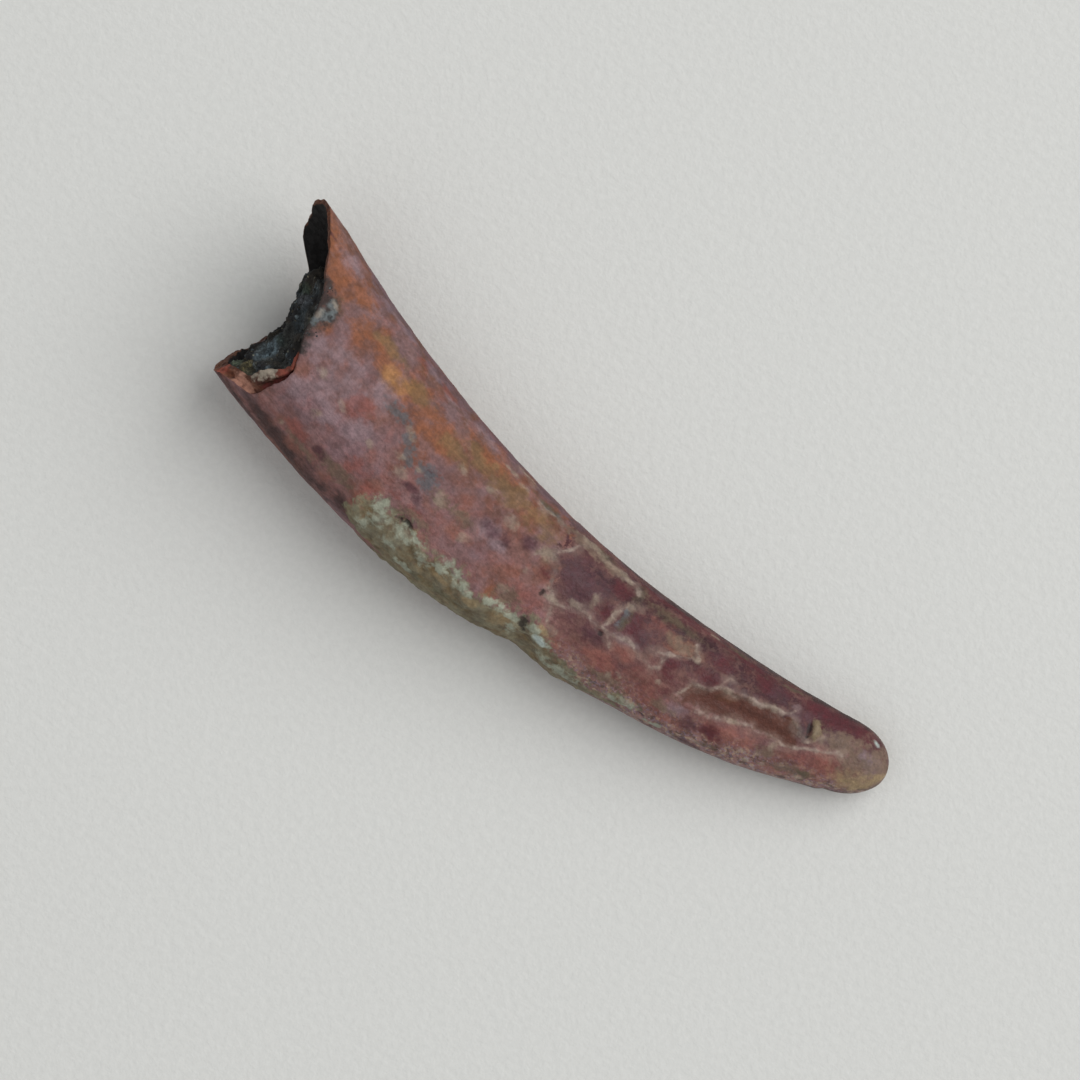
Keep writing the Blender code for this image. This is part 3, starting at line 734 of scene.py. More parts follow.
def vein_closeness(surface):
    """1 on a vein, falling evenly to 0 at VEIN_REACH from it."""
    nearest = np.full_like(surface.along, VEIN_REACH)
    for vein in VEINS:
        ends = [list(both_sides(((along, across, 1, 1),))) for along, across in vein]
        for starts, stops in zip(ends, ends[1:]):
            for (along, angle, *_), (stop_along, stop_angle, *_) in zip(starts, stops):
                low, high = min(along, stop_along) - VEIN_REACH, max(along, stop_along) + VEIN_REACH
                near, here = part_of(surface, low, high)
                run, climb = stop_along - along, here.girth * (stop_angle - angle)
                ahead, aside = here.along - along, -way_round(here, angle)
                t = np.clip((ahead * run + aside * climb) / (run * run + climb * climb), 0.0, 1.0)
                gap = np.hypot(ahead - t * run, aside - t * climb)
                nearest[near] = np.minimum(nearest[near], gap)
    return 1.0 - nearest / VEIN_REACH


def crust_closeness(surface):
    """0.5 at the edge of the crust, rising or falling by 1 in each millimetre."""
    top_edge = angle_at(surface.along, through(CRUST_EDGE, surface.along))
    turned = surface.angle % (2.0 * math.pi)
    turned = np.where(turned > 1.5 * math.pi, turned - 2.0 * math.pi, turned)
    degrees = np.degrees(turned)
    under = np.radians(through(CRUST_UNDER, surface.along))
    inside = surface.girth * np.minimum(turned - top_edge, under - turned)
    starts, finishes = through(CRUST_STARTS, degrees), through(CRUST_FINISHES, degrees)
    ends = np.minimum(surface.along - starts, finishes - surface.along)
    place = together(surface.along, surface.across, surface.up)
    ragged = CRUST_RAGGED * noise_over(place, CRUST_RAGGED_SIZE, 3, 4.1) * blend(*CRUST_RAGGED_FROM, degrees)
    return np.clip(0.5 + np.minimum(inside, ends) + ragged, 0.0, 1.0)


def spall_closeness(surface):
    """0.5 at the edge of the long spall, rising or falling by 1 in each millimetre."""
    across = surface.girth / ROUND_TO_WIDTH * np.cos(surface.angle)
    across = np.where(surface.up > 0.0, across, -np.inf)
    upper, lower = through(SPALL_UPPER, surface.along), through(SPALL_LOWER, surface.along)
    inside = np.minimum(upper - across, across - lower)
    ends = np.minimum(surface.along - SPALL_LOWER[0][0], SPALL_LOWER[-1][0] - surface.along)
    return np.clip(0.5 + np.minimum(inside, ends), 0.0, 1.0)


def crown_closeness(surface):
    """0.5 at the edge of the enamel, rising by 1 in each millimetre towards the tip."""
    edge = through(CROWN_EDGE, np.degrees(surface.angle))
    return np.clip(0.5 + surface.along - edge, 0.0, 1.0)


def fields_over(surface):
    """Every stain, deposit and mark of painted shade and light as a field over the surface."""
    marked = shaken(surface)
    fields = {stain.name: closeness(marked, MARKS[stain.name]) for stain in STAINS_AND_SHADE}
    fields["vein"] = vein_closeness(marked)
    fields["crust"] = crust_closeness(marked)
    fields["spall"] = spall_closeness(marked)
    fields["crown"] = crown_closeness(marked)
    on_break = (surface.kind == FRACTURE) & (surface.up > 0.0)
    for stain in BREAK_STAINS_AND_HIGHLIGHT:
        fields[stain.name] = closeness(marked, MARKS[stain.name]) * on_break
    fields["side"] = np.cos(surface.angle)
    fields["kind"] = surface.kind
    fields["place"] = together(surface.along, surface.across, surface.up)
    lumps = noise_over(fields["place"], CRUST_LUMP_SIZE, 3, 1.9)
    granules = granules_over(fields["place"], CRUST_GRANULE_SIZE)
    fields["lift"] = CRUST_LUMPS * lumps + CRUST_GRANULES * granules
    return fields


def fine_relief(straight, fields):
    """What the finished surface adds to the solid's relief."""
    crown = blend(*CROWN_RISES, fields["crown"])
    crust = blend(*CRUST_RISES, fields["crust"])
    uneven = ROOT_UNEVEN + (CROWN_UNEVEN - ROOT_UNEVEN) * crown
    height = uneven * noise_over(straight, UNEVEN_SIZE, 4, 7.7)
    stretched = straight / np.array([GROWTH_LINE_LENGTH, GROWTH_LINE_WIDTH, GROWTH_LINE_WIDTH])
    height = height + GROWTH_LINES * noise_over(stretched, 1.0, 2, 3.3) * (1.0 - crust)
    height = height + ENAMEL_STEP * crown * (1.0 - crust)
    for stain in STAINS_AND_SHADE:
        if stain.rise:
            height = height + stain.rise * blend(*STAIN_RISES, fields[stain.name])
    height = height + crust * (CRUST_HEIGHT + fields["lift"])
    height = height + VEIN_HEIGHT * blend(*VEIN_RISES, fields["vein"])
    return height - SPALL_STEP * blend(*SPALL_FALLS, fields["spall"])


def laid(kind, along, angle, across, up):
    """A surface from its places, all of one shape."""
    along, angle, across, up = np.broadcast_arrays(along, angle, across, up)
    girth = ROUND_TO_WIDTH * half_width(along, angle)
    return Surface(along, angle, across, up, girth, np.full_like(along, kind))


def outside_surface(angle, rim, rows):
    """The outside from the tip to the rim, its fields, and its height over the plain form at the rim."""
    share = (1.0 - np.cos(np.arange(rows + 1) / rows * math.pi / 2.0)) ** TIP_CROWDING
    along = AXIS_LENGTH - (AXIS_LENGTH - rim) * share[:, None]
    across, up = section(along, angle)
    surface = laid(OUTSIDE, along, angle, across, up)
    fields = fields_over(surface)
    height = solid_relief(along, across, up) - wear(along, surface.angle)
    height = (height + fine_relief(fields["place"], fields)) * tip_taper(along)
    across, up = across + np.cos(angle) * height, up + np.sin(angle) * height
    return surface._replace(across=across, up=up), fields, height[-1]


def fracture_surface(angle, rim, thickness, rim_height):
    """The broken edge of the wall, row by row from the rim to the cavity, with its ledge, slot and bar."""
    shelf = ledge(angle)
    corners = ((0.0, 0.0), (LIP / 2.0, OUTER_LAYER), (LIP / 2.0, OUTER_LAYER + LEDGE_SLOPE), (LIP, 1.0))
    steps = [(leg, step / count) for leg, count in enumerate(FRACTURE_ROWS) for step in range(1, count + 1)]
    leg = np.array([leg for leg, _ in steps])
    t = np.array([t for _, t in steps])
    lip, depth = (np.array(corners)[leg] * (1.0 - t[:, None]) + np.array(corners)[leg + 1] * t[:, None]).T
    across_shelf = np.where(leg == 1, t, leg > 1)[:, None]
    along = rim + lip[:, None] - shelf * across_shelf
    depth = depth[:, None]
    degrees = np.degrees(angle)
    there = blend(*SLOT_BEGINS, degrees) * (1.0 - blend(*SLOT_ENDS, degrees))
    slot = SLOT_DEPTH * np.exp(-(((across_shelf - SLOT_AT) / SLOT_SPREAD) ** 2))
    bar = BAR_HEIGHT * np.exp(-(((across_shelf - BAR_AT) / BAR_SPREAD) ** 2))
    inset = thickness * depth + there * (slot - bar) - rim_height * (1.0 - depth)
    across, up = section(along, angle, inset)
    rough = noise_over(together(along, across, up), FRACTURE_GRAIN, 3, 8.1)
    along = along + FRACTURE_ROUGHNESS * rough * np.minimum(depth / FRACTURE_ONSET, 1.0)
    return laid(FRACTURE, along, angle, across, up)


def cavity_section(along, angle, lip, inset):
    """(across, up) from the axis to the inside of the wall, which closes at the end of the cavity."""
    size = rounded_end(along, lip, CAVITY_END)
    across, up = section(along, angle, inset)
    return across * size, up * size


def cavity_surface(angle, lip, thickness, rows):
    """The inside of the wall, from its lip to the end of the cavity."""
    share = np.sin(np.arange(1, rows + 1) / rows * math.pi / 2.0)[:, None]
    along = lip + (CAVITY_END - lip) * share
    return laid(INSIDE, along, angle, *cavity_section(along, angle, lip, thickness))


def turn_of(sides):
    """The angles of so many sides, from -180 to 180 degrees and starting at 0."""
    return (np.arange(sides) * 2.0 * math.pi / sides + math.pi) % (2.0 * math.pi) - math.pi


def tooth_grid(sides, outside_rows, cavity_rows):
    """The points and fields of the whole tooth: from the tip to the break, over its edge and inside."""
    angle = turn_of(sides)
    rim, thickness = rim_along(angle), wall(angle)
    outside, fields, rim_height = outside_surface(angle, rim, outside_rows)
    fracture = fracture_surface(angle, rim, thickness, rim_height)
    inside = cavity_surface(angle, fracture.along[-1], thickness, cavity_rows)
    points = [placed(part.along, part.across, part.up) for part in (outside, fracture, inside)]
    fields = [fields, fields_over(fracture), fields_over(inside)]
    joined = {name: np.concatenate([part[name] for part in fields]) for name in fields[0]}
    return np.concatenate(points), joined


# ----------------------------------------
# Meshes, colours and nodes.


def linear(hex_colour):
    """An sRGB hex colour as linear (red, green, blue, alpha)."""
    values = [int(hex_colour[i : i + 2], 16) / 255.0 for i in (1, 3, 5)]
    return tuple(v / 12.92 if v <= 0.04045 else ((v + 0.055) / 1.055) ** 2.4 for v in values) + (1.0,)


def opaque(colour):
    return colour[:] + (1.0,)


FIELD_KINDS = {(): ("FLOAT", "value"), (3,): ("FLOAT_VECTOR", "vector"), (4,): ("FLOAT_COLOR", "color")}


def give_field(mesh, name, values):
    """Gives every point of a mesh its value, place or colour."""
    kind, store = FIELD_KINDS[values.shape[1:]]
    layer = mesh.attributes.new(name, kind, "POINT")
    layer.data.foreach_set(store, values.astype(np.float32).ravel())


def closed_grid(name, grid, fields):
    """A closed mesh on a grid of points in millimetres, whose first and last rows are each one point."""
    rows, sides = grid.shape[:2]
    here = 1 + np.arange((rows - 2) * sides).reshape(rows - 2, sides)
    beside = np.roll(here, -1, axis=1)
    last = here[-1, -1] + 1
    quads = np.stack([here[:-1], here[1:], beside[1:], beside[:-1]], axis=-1).reshape(-1, 4)
    first_fan = np.stack([np.zeros_like(here[0]), here[0], beside[0]], axis=-1)
    last_fan = np.stack([here[-1], np.full_like(here[0], last), beside[-1]], axis=-1)

    def flat(values):
        return np.concatenate([values[0, :1], values[1:-1].reshape(-1, *values.shape[2:]), values[-1, :1]])

    mesh = bpy.data.meshes.new(name)
    faces = first_fan.tolist() + quads.tolist() + last_fan.tolist()
    mesh.from_pydata((flat(grid) * MM).tolist(), [], faces)
    for field_name, values in fields.items():
        give_field(mesh, field_name, flat(values))
    mesh.shade_smooth()
    return mesh


def put(context, mesh, material):
    """Makes a mesh a piece of the tooth, gives it its finish and lets it ride on the part's body."""
    piece = bpy.data.objects.new(mesh.name, mesh)
    context.scene.collection.objects.link(piece)
    mesh.materials.append(material)
    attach(piece, BODY)
    return piece


def add(tree, kind, settings=None, links=None, output=0):
    """Adds a node and gives one of its outputs. A link is another node's output or a plain value."""
    node = tree.nodes.new(kind)
    for name, value in (settings or {}).items():
        setattr(node, name, value)
    for name, value in (links or {}).items():
        if isinstance(value, bpy.types.NodeSocket):
            tree.links.new(value, node.inputs[name])
        else:
            node.inputs[name].default_value = value
    return node.outputs[output]


def new_material(name, roughness, ior):
    """A material, its tree and its shader."""
    material = bpy.data.materials.new(name)
    material.use_nodes = True
    shader = material.node_tree.nodes["Principled BSDF"]
    shader.inputs["Roughness"].default_value = roughness
    shader.inputs["IOR"].default_value = ior
    return material, material.node_tree, shader


def bumped(tree, shader, height, distance):
    """Gives a shader a fine relief, with its height in millimetres."""
    links = {"Strength": BUMP_STRENGTH, "Distance": distance * MM, "Height": height}
    tree.links.new(add(tree, "ShaderNodeBump", None, links), shader.inputs["Normal"])


def calculated(tree, operation, *values):
    return add(tree, "ShaderNodeMath", {"operation": operation}, dict(enumerate(values)))


def ramped(tree, value, low, high, top=1.0, bottom=0.0):
    """A smooth step from bottom to top as the value goes from low to high."""
    links = {"Value": value, "From Min": low, "From Max": high, "To Min": bottom, "To Max": top}
    return add(tree, "ShaderNodeMapRange", {"interpolation_type": "SMOOTHSTEP"}, links)


def over(tree, below, colour, cover, mode="MIX"):
    """One colour laid over another by a cover from 0 to 1. A mix's colours go into its sockets 6 and 7."""
    settings = {"data_type": "RGBA", "blend_type": mode, "clamp_factor": True}
    return add(tree, "ShaderNodeMix", settings, {0: cover, 6: below, 7: colour}, 2)


def field(tree, name, output="Fac"):
    return add(tree, "ShaderNodeAttribute", {"attribute_name": name}, None, output)


def grains_of(tree, place, sizes):
    """Three unlike grains, each from 0 to 1, for each size in millimetres, such as coarse_red."""
    grains = {}
    for name, (size, detail) in sizes.items():
        links = {"Vector": place, "Scale": 1.0 / size, "Detail": detail, "Roughness": GRAIN_ROUGHNESS}
        pattern = add(tree, "ShaderNodeTexNoise", None, links, "Color")
        channels = add(tree, "ShaderNodeSeparateColor", None, {"Color": pattern}).node.outputs
        for channel in channels:
            grains[name + "_" + channel.name.lower()] = ramped(tree, channel, *GRAIN_SPAN)
    return grains


def grains_in_object(tree, sizes):
    """Grains that lie in the object's own coordinates, which are in metres."""
    place = add(tree, "ShaderNodeTexCoord", None, None, "Object")
    return grains_of(tree, place, {name: (size * MM, detail) for name, (size, detail) in sizes.items()})


def edge_of(tree, mask, grain, soft, breakup, cover, middle=0.5):
    """Covers what lies over the middle value of a mask, once the grain has broken its edge up.

    It fades out with the mask itself, so that no grain is high enough to be covered far outside it.
    """
    broken = calculated(tree, "MULTIPLY_ADD", grain, breakup, mask)
    within = ramped(tree, mask, 0.0, FADED_OUT * middle, cover)
    middle = middle + breakup / 2.0
    return calculated(tree, "MULTIPLY", ramped(tree, broken, middle - soft, middle + soft), within)


def washed(tree, colour, grains, washes):
    """Lays thin washes over a colour, each (colour, grain, cover), where its grain is high."""
    for wash, grain, cover in washes:
        colour = over(tree, colour, linear(wash), ramped(tree, grains[grain], *WASH_SPAN, cover))
    return colour


def shaded(tree, colour, shades, grains):
    """Makes a colour lighter and darker by each (grain, depth)."""
    for grain, depth in shades:
        tone = ramped(tree, grains[grain], 0.0, 1.0, 1.0 + depth, 1.0 - depth)
        colour = over(tree, colour, tone, 1.0, "MULTIPLY")
    return colour


def stained_and_shaded(tree, colour, grains, stains):
    """Lays each stain and each mark of painted shade and light over a colour where its own field is."""
    for stain in stains:
        mask = field(tree, stain.name)
        cover = edge_of(tree, mask, grains[stain.grain], stain.soft, stain.breakup, stain.cover)
        colour = over(tree, colour, linear(stain.colour), cover)
    return colour


def veined(tree, colour, grains):
    """Lays the pale mineral of the cracks over a colour: a broken line of uneven strength in a faint haze."""
    mask = field(tree, "vein")
    haze = edge_of(tree, mask, grains["mid_green"], *VEIN_HAZE)
    colour = over(tree, colour, linear(VEIN_COLOUR), haze)
    line = edge_of(tree, mask, grains["mid_blue"], VEIN_SOFT, VEIN_BREAKUP, 1.0, VEIN_MIDDLE)
    strength = ramped(tree, grains["mid_red"], *VEIN_STRENGTH)
    return over(tree, colour, linear(VEIN_COLOUR), calculated(tree, "MULTIPLY", line, strength))


def tooth_material(settings):
    """Mottled dentine, wine-coloured enamel, lime crust, pale veins and the brown broken edge, with painted
    shade on the hollow side, along the edges, in the pits and in the cavity, and painted light on the
    crown's bulging side and on the end of the wall.
    """
    name = "mineral_stained_dentine_and_enamel"
    material, tree, shader = new_material(name, settings.root_gloss, DENTINE_IOR)
    place = field(tree, "place", "Vector")
    grains = grains_of(tree, place, TOOTH_GRAINS)
    drawn_out = add(tree, "ShaderNodeVectorMath", {"operation": "MULTIPLY"}, {0: place, 1: STREAK_STRETCH})
    grains.update(grains_of(tree, drawn_out, STREAK_GRAINS))
    crown = edge_of(tree, field(tree, "crown"), grains["fine_red"], *CROWN_EDGING)
    crust = edge_of(tree, field(tree, "crust"), grains["fine_red"], *CRUST_EDGING)
    spall = edge_of(tree, field(tree, "spall"), grains["fine_green"], *SPALL_EDGING)

    # Painted shade on the hollow side and painted light on the crown's bulging side, laid by the side field.
    side = field(tree, "side")
    hollow_side_tone_and_shade = ramped(tree, side, *ROOT_HOLLOW_SHADE_SPAN)
    colour = over(tree, opaque(settings.root_colour), linear(ROOT_HOLLOW_TONE_AND_SHADE), hollow_side_tone_and_shade)
    colour = washed(tree, colour, grains, ROOT_WASHES)
    bulging_side_light = ramped(tree, side, *CROWN_BULGING_LIGHT_SPAN)
    enamel = over(tree, opaque(settings.crown_colour), linear(CROWN_BULGING_SIDE_LIGHT), bulging_side_light)
    enamel = over(tree, enamel, linear(CROWN_HOLLOW_SIDE_SHADE), ramped(tree, side, *CROWN_HOLLOW_SHADE_SPAN))
    enamel = washed(tree, enamel, grains, CROWN_WASHES)
    # The flecks lie on the same bulging side as the painted light.
    for fleck, grain, cover in CROWN_FLECKS:
        spots = ramped(tree, grains[grain], *FLECK_SPAN, cover)
        enamel = over(tree, enamel, linear(fleck), calculated(tree, "MULTIPLY", spots, bulging_side_light))
    colour = over(tree, colour, enamel, crown)
    colour = stained_and_shaded(tree, colour, grains, STAINS_AND_SHADE[:UNDER_CRUST])
    colour = shaded(tree, colour, STREAK_SHADES, grains)
    colour = over(tree, colour, linear(SPALL_COLOUR), spall)
    lime = washed(tree, linear(CRUST_COLOUR), grains, CRUST_WASHES)
    lift = calculated(tree, "MULTIPLY_ADD", grains["fine_red"], CRUST_GRANULES, field(tree, "lift"))
    lime = over(tree, lime, linear(CRUST_TOP), ramped(tree, lift, *CRUST_TOP_LIFT))
    colour = over(tree, colour, lime, crust)
    colour = veined(tree, colour, grains)
    kind = field(tree, "kind")
    broken = washed(tree, linear(FRACTURE_COLOUR), grains, FRACTURE_WASHES)
    colour = over(tree, colour, broken, calculated(tree, "GREATER_THAN", kind, FRACTURE / 2.0))
    colour = stained_and_shaded(tree, colour, grains, (*BREAK_STAINS_AND_HIGHLIGHT, *STAINS_AND_SHADE[UNDER_CRUST:]))
    # Painted shade inside the cavity, reaching a third of the way over the broken edge.
    colour = over(tree, colour, linear(CAVITY_SHADE_COLOUR), ramped(tree, kind, *CAVITY_SHADE_EDGE))
    tree.links.new(shaded(tree, colour, TOOTH_SHADES, grains), shader.inputs["Base Color"])

    gloss = ramped(tree, crown, 0.0, 1.0, settings.crown_gloss, settings.root_gloss)
    matt = calculated(tree, "MULTIPLY_ADD", crust, CRUST_GLOSS - settings.root_gloss, gloss)
    uneven = ramped(tree, grains["fine_green"], 0.0, 1.0, GLOSS_UNEVEN, -GLOSS_UNEVEN)
    tree.links.new(calculated(tree, "ADD", matt, uneven), shader.inputs["Roughness"])
    height = calculated(tree, "MULTIPLY_ADD", grains["streak_green"], STREAK_BUMP, grains["dust_green"])
    bumped(tree, shader, height, TOOTH_BUMP)
    return material


# ----------------------------------------
# The sand. Its plug has the solid's face, a little further in and with a grain on it, and meets the wall
# all round.


def face_along(across, up):
    """How far along the tooth the front of the sand lies at this place in the section."""
    side = across / half_width(np.array(FACE_AT), np.where(across > 0.0, 0.0, math.pi))
    level = up / half_depth(np.array(FACE_AT))
    angle = np.arccos(np.clip(side, -1.0, 1.0))
    upper = (level + 1.0) / 2.0
    front = inner_lip(-angle) * (1.0 - upper) + inner_lip(angle) * upper
    bulge = FACE_BULGE * np.maximum(1.0 - side * side - level * level, 0.0)
    place = together(across, up, FACE_AT)
    lump = LUMP_HEIGHT * noise_over(place, LUMP_SIZE, LUMP_OCTAVES)
    hollowed = HOLLOW_DEPTH * blend(HOLLOW_FROM, HOLLOW_FROM + HOLLOW_WIDTH, across)
    rough = PLUG_ROUGH * noise_over(place, PLUG_ROUGH_SIZE, 3, 6.6)
    grain = PLUG_GRAIN_HEIGHT * granules_over(place, PLUG_GRAIN, 2.2)
    return front + FACE_SINK - bulge + lump + hollowed - rough - grain


def face_edge(angle):
    """Where the face of the sand meets the wall: how far along, and how far across and up."""
    inset, lip = wall(angle) - PLUG_SINK, inner_lip(angle)
    edge = lip
    for _ in range(EDGE_SEARCH_STEPS):
        edge = np.maximum(face_along(*cavity_section(edge, angle, lip, inset)), lip + LIP)
    return edge, *cavity_section(edge, angle, lip, inset)


def on_face(angle, share):
    """Points of the face, from its middle at a share of 0 to its edge at 1."""
    edge, across, up = face_edge(angle)
    across, up = across * share, up * share
    at_edge = blend(FACE_MIDDLE, 1.0, share)
    return edge * at_edge + face_along(across, up) * (1.0 - at_edge), across, up


def spilt(chance):
    """Places round the break where sand still sticks to the outside of the wall."""
    patches = np.repeat(np.array(SPILL_PATCHES), SPILL_GRAINS, axis=0)
    along, across = (patches[:, :2] + patches[:, 2:] * chance.normal(size=(len(patches), 2))).T
    angle = angle_at(along, across)
    along = np.maximum(along, rim_along(angle))
    across, up = section(along, angle, SPILL_DEPTH)
    return along, across, up + solid_relief(along, across, up)


def plug_grid(sides, face_rows, buried_rows):
    """The points of the plug: rows from its buried end out to the edge of its face, and to the middle."""
    angle = turn_of(sides)
    edge = face_edge(angle)[0]
    share = 1.0 - np.cos(np.arange(buried_rows) / buried_rows * math.pi / 2.0)[:, None]
    along = FILL_END - (FILL_END - edge) * share
    across, up = cavity_section(along, angle, inner_lip(angle), wall(angle) - PLUG_SINK)
    size = rounded_end(along, edge, FILL_END)
    buried = (along, across * size, up * size)
    face = on_face(angle, 1.0 - np.arange(face_rows + 1)[:, None] / face_rows)
    return [np.concatenate(pair) for pair in zip(buried, face)]


def patched(colours, along, across):
    """Colours of the sand, changed where it lies in a patch of another kind of grain."""
    for colour, centre, offset, length, width in SAND_PATCHES:
        reach = np.hypot((along - centre) / length, (across - offset) / width)
        cover = 1.0 - blend(*PATCH_SPAN, reach)[..., None]
        colours = colours + cover * (np.array(linear(colour)) - colours)
    return colours


def sand_tones(chance, count):
    """A colour for each of so many grains, from black through the greys to cream."""
    colours, shares = zip(*SAND_TONES)
    picks = chance.choice(len(colours), count, p=np.array(shares) / sum(shares))
    return np.array([linear(colour) for colour in colours])[picks]


def grain_mesh(chance, along, across, up, settings):
    """One mesh of small dented grains, each with its own size, turn and colour."""
    ball = bmesh.new()
    bmesh.ops.create_icosphere(ball, subdivisions=2, radius=1.0)
    unit = np.array([vertex.co for vertex in ball.verts])
    triangles = np.array([[vertex.index for vertex in face.verts] for face in ball.faces])
    ball.free()
    count = len(along)
    tones = patched(sand_tones(chance, count), along, across)
    spread = (settings.largest - settings.smallest) / MM
    radius = settings.smallest / MM + spread * chance.uniform(size=(count, 1, 1)) ** SMALL_GRAINS
    radius[settings.grains :] *= SPILL_FINENESS
    places = placed(along + GRAIN_SINK * radius.ravel(), across, up)
    turns = np.array([Euler(turn).to_matrix() for turn in chance.uniform(0.0, 2.0 * math.pi, (count, 3))])
    shape = (unit * chance.uniform(*GRAIN_STRETCH, (count, 1, 3))) @ turns
    dents = noise_over(shape * DENTS_ACROSS + places[:, None, :], 1.0)
    points = places[:, None, :] + shape * radius * (1.0 + GRAIN_DENTS * dents[..., None])
    corners = triangles + len(unit) * np.arange(count)[:, None, None]
    mesh = bpy.data.meshes.new("sand_grains")
    mesh.from_pydata((points.reshape(-1, 3) * MM).tolist(), [], corners.reshape(-1, 3).tolist())
    give_field(mesh, "tone", np.repeat(tones, len(unit), axis=0))
    mesh.shade_smooth()
    return mesh


def sand_material():
    """Cemented quartz and iron sand: dark, matt grains with a few paler ones, so nothing in it shines."""
    material, tree, shader = new_material("iron_cemented_sand", SAND_GLOSS, SAND_IOR)
    grains = grains_in_object(tree, SAND_GRAINS)
    colour = washed(tree, field(tree, "tone", "Color"), grains, SAND_WASHES)
    tree.links.new(shaded(tree, colour, SAND_SHADES, grains), shader.inputs["Base Color"])
    bumped(tree, shader, grains["dust_green"], SAND_BUMP)
    return material


# ----------------------------------------
# The stage.


def card_material(colour):
    """Matt card: plain, pale, and just uneven enough to catch the light softly."""
    material, tree, shader = new_material("matt_card", CARD_GLOSS, CARD_IOR)
    grains = grains_in_object(tree, CARD_GRAINS)
    tree.links.new(shaded(tree, opaque(colour), CARD_SHADES, grains), shader.inputs["Base Color"])
    bumped(tree, shader, grains["fibre_green"], CARD_BUMP)
    return material


def add_lamp(scene, name, middle, turn, elevation, distance, size, power):
    """A round soft lamp that faces the middle of the view. Its turn is measured from the view's right."""
    towards = Euler((0.0, -elevation, VIEW_TURN + turn)).to_matrix() @ Vector((1.0, 0.0, 0.0))
    light = bpy.data.lights.new(name, "AREA")
    light.shape = "DISK"
    light.size = size
    light.energy = power
    lamp = bpy.data.objects.new(name, light)
    lamp.location = middle + towards * distance
    lamp.rotation_euler = towards.to_track_quat("Z", "Y").to_euler()
    lamp.visible_camera = False
    scene.collection.objects.link(lamp)


# ----------------------------------------
# The add-on: its settings, one operator for each group of pieces, and a panel.


def tint(name, description, hex_colour):
    settings = {"subtype": "COLOR", "size": 3, "max": 1.0, "default": linear(hex_colour)[:3]}
    return FloatVectorProperty(name=name, description=description, **settings)


def number_of(name, description, default, least):
    return IntProperty(name=name, description=description, default=default, min=least)


def size_of(name, description, metres):
    settings = {"unit": "LENGTH", "precision": 6, "default": metres}
    return FloatProperty(name=name, description=description, **settings)


def factor(name, description, default):
    settings = {"subtype": "FACTOR", "max": 1.0, "default": default}
    return FloatProperty(name=name, description=description, **settings)


class FossilToothSettings(PropertyGroup):
    """How finely the tooth is divided, and its finish."""

    sides: number_of("Sides", "Divisions round the tooth", 272, 32)
    outside_rows: number_of("Rows outside", "Rows from tip to break", 300, 32)
    cavity_rows: number_of("Rows inside", "Divisions down the cavity", 16, 4)
    root_colour: tint("Root", "Overall colour of the root", "#8A6360")
    crown_colour: tint("Crown", "Overall colour of the enamel", "#7E534E")
    root_gloss: factor("Root roughness", "Roughness of the root", 0.84)
    crown_gloss: factor("Crown roughness", "Roughness of the enamel", 0.6)


class FossilSandSettings(PropertyGroup):
    """The sand in the root."""

    sides: number_of("Sides", "Divisions round the plug", 180, 24)
    face_rows: number_of("Rows of the face", "Rows over the face", 60, 8)
    buried_rows: number_of("Rows buried", "Rows beneath it", 10, 4)
    grains: number_of("Grains", "Grains that stand out of the face", 1000, 0)
    smallest: size_of("Smallest grain", "Its radius", 0.05 * MM)
    largest: size_of("Largest grain", "Its radius", 0.15 * MM)
    colour: tint("Sand", "Colour between the grains", "#1C1B1D")


class FossilStageSettings(PropertyGroup):
    """The floor, the light and the camera."""

    floor_colour: tint("Floor", "Colour of the floor", "#E2E2DE")
    floor_size: size_of("Floor size", "Side of the floor", 4.0)
    window_power: FloatProperty(name="Window", description="Watts of the right light", default=4.6)
    ceiling_power: FloatProperty(name="Ceiling", description="Watts of the left light", default=1.3)
    room: FloatProperty(name="Room", description="Strength of the even light all round", default=0.33)
    view_width: size_of("View width", "Width that the camera takes in", 51.62 * MM)
    camera_height: size_of("Camera height", "Height over the middle of the tooth", 0.9)


class FOSSIL_OT_make_stage(Operator):
    """Makes the pale floor, the soft lights and the camera over the tooth"""

    bl_idname = "fossil_tooth.make_stage"
    bl_label = "Stage"

    def execute(self, context):
        settings = context.scene.fossil_stage
        scene = context.scene
        bpy.ops.mesh.primitive_plane_add(size=settings.floor_size)
        floor = context.object
        floor.name = "floor"
        floor.data.materials.append(card_material(settings.floor_colour))

        middle = Vector((*VIEW_MIDDLE, MIDDLE_HEIGHT)) * MM
        add_lamp(scene, "window", middle, *WINDOW_AT, settings.window_power)
        add_lamp(scene, "ceiling", middle, *CEILING_AT, settings.ceiling_power)
        world = bpy.data.worlds.new("room")
        world.use_nodes = True
        surroundings = world.node_tree.nodes["Background"]
        surroundings.inputs["Color"].default_value = linear(ROOM_COLOUR)
        surroundings.inputs["Strength"].default_value = settings.room
        scene.world = world

        lens = bpy.data.cameras.new("camera")
        lens.sensor_width = SENSOR
        lens.lens = SENSOR * settings.camera_height / settings.view_width
        lens.clip_start = NEAREST_SEEN
        camera = bpy.data.objects.new("camera", lens)
        camera.location = middle + Vector((0.0, 0.0, settings.camera_height))
        camera.rotation_euler = (0.0, 0.0, VIEW_TURN)
        scene.collection.objects.link(camera)
        scene.camera = camera
        scene.view_settings.view_transform = "Standard"
        return {"FINISHED"}


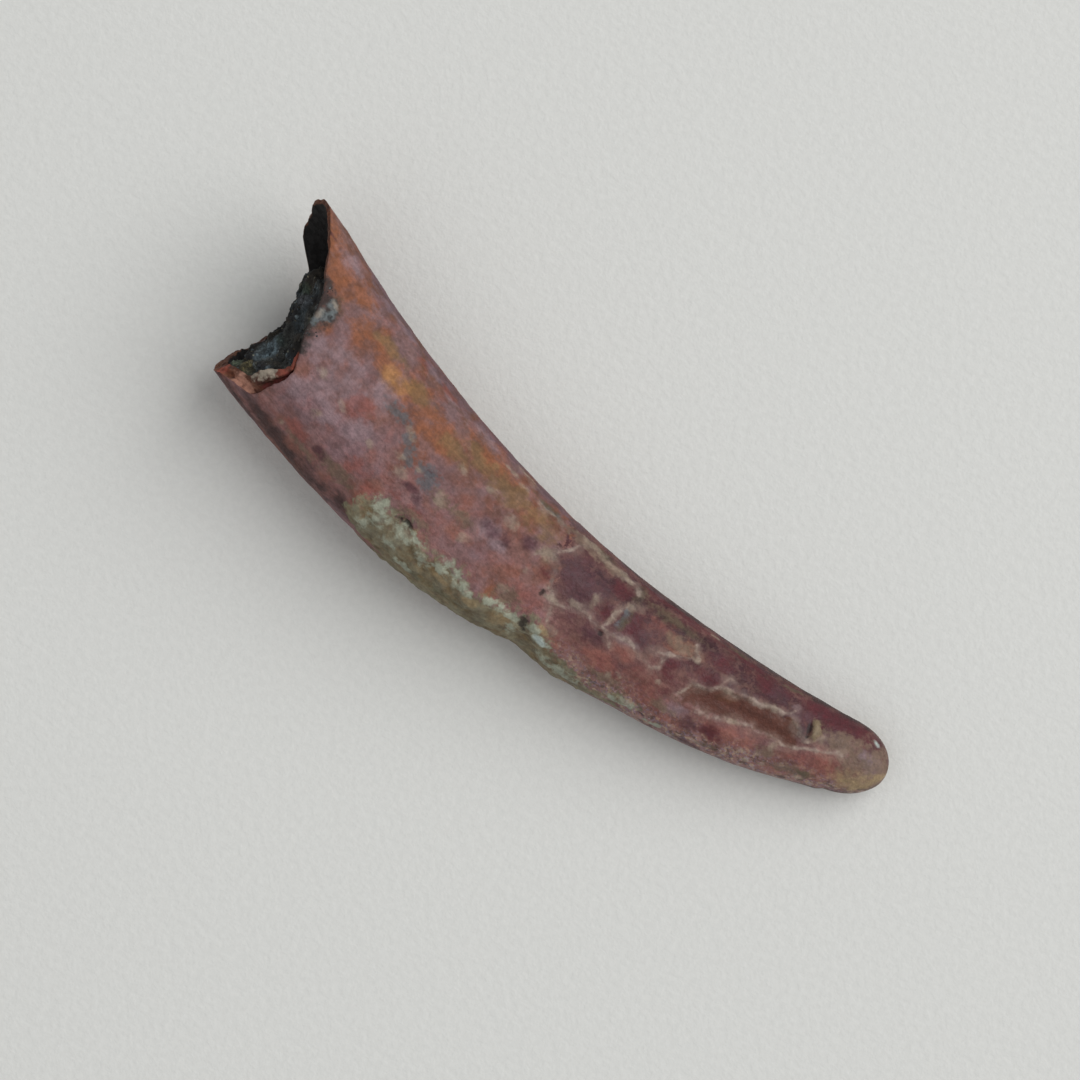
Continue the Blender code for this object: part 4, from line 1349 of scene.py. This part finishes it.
class FOSSIL_OT_make_tooth(Operator):
    """Makes the finished surface of the tooth in place of its plain solid"""

    bl_idname = "fossil_tooth.make_tooth"
    bl_label = "Tooth"

    def execute(self, context):
        settings = context.scene.fossil_tooth
        grid, fields = tooth_grid(settings.sides, settings.outside_rows, settings.cavity_rows)
        mesh = closed_grid("tooth_surface", grid, fields)
        piece = put(context, mesh, tooth_material(settings))
        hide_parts("tooth")
        return {"FINISHED"}


class FOSSIL_OT_make_sand(Operator):
    """Makes the cemented sand in the root, with its grains, in place of its plain solid"""

    bl_idname = "fossil_tooth.make_sand"
    bl_label = "Sand"

    def execute(self, context):
        settings = context.scene.fossil_sand
        material = sand_material()
        along, across, up = plug_grid(settings.sides, settings.face_rows, settings.buried_rows)
        colours = np.broadcast_to(opaque(settings.colour), (*along.shape, 4))
        tones = {"tone": patched(colours, along, across)}
        mesh = closed_grid("sand_plug", placed(along, across, up), tones)
        plug = put(context, mesh, material)
        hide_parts("sand_fill")
        chance = np.random.default_rng(GRAIN_SEED)
        angle = chance.uniform(-math.pi, math.pi, settings.grains)
        places = on_face(angle, np.sqrt(chance.uniform(0.0, GRAIN_REACH, settings.grains)))
        places = [np.concatenate(pair) for pair in zip(places, spilt(chance))]
        put(context, grain_mesh(chance, *places, settings), material)
        return {"FINISHED"}


# What the panel lists: each operator, and the settings that the scene holds for it.
MAKERS = (
    (FOSSIL_OT_make_stage, "fossil_stage", FossilStageSettings),
    (FOSSIL_OT_make_tooth, "fossil_tooth", FossilToothSettings),
    (FOSSIL_OT_make_sand, "fossil_sand", FossilSandSettings),
)


class FOSSIL_PT_panel(Panel):
    """Lists what this add-on makes, with its settings"""

    bl_idname = "FOSSIL_PT_panel"
    bl_label = "Fossil Tooth"
    bl_space_type = "VIEW_3D"
    bl_region_type = "UI"
    bl_category = "Fossil Tooth"

    def draw(self, context):
        for operator, name, group in MAKERS:
            box = self.layout.box()
            box.operator(operator.bl_idname)
            for setting in group.__annotations__:
                box.prop(getattr(context.scene, name), setting)


def register():
    for operator, name, group in MAKERS:
        bpy.utils.register_class(group)
        setattr(bpy.types.Scene, name, PointerProperty(type=group))
        bpy.utils.register_class(operator)
    bpy.utils.register_class(FOSSIL_PT_panel)


def unregister():
    bpy.utils.unregister_class(FOSSIL_PT_panel)
    for operator, name, group in reversed(MAKERS):
        bpy.utils.unregister_class(operator)
        delattr(bpy.types.Scene, name)
        bpy.utils.unregister_class(group)


def main():
    register()
    bpy.ops.fossil_tooth.make_stage()
    bpy.ops.fossil_tooth.make_tooth()
    bpy.ops.fossil_tooth.make_sand()


if __name__ == "__main__":
    main()
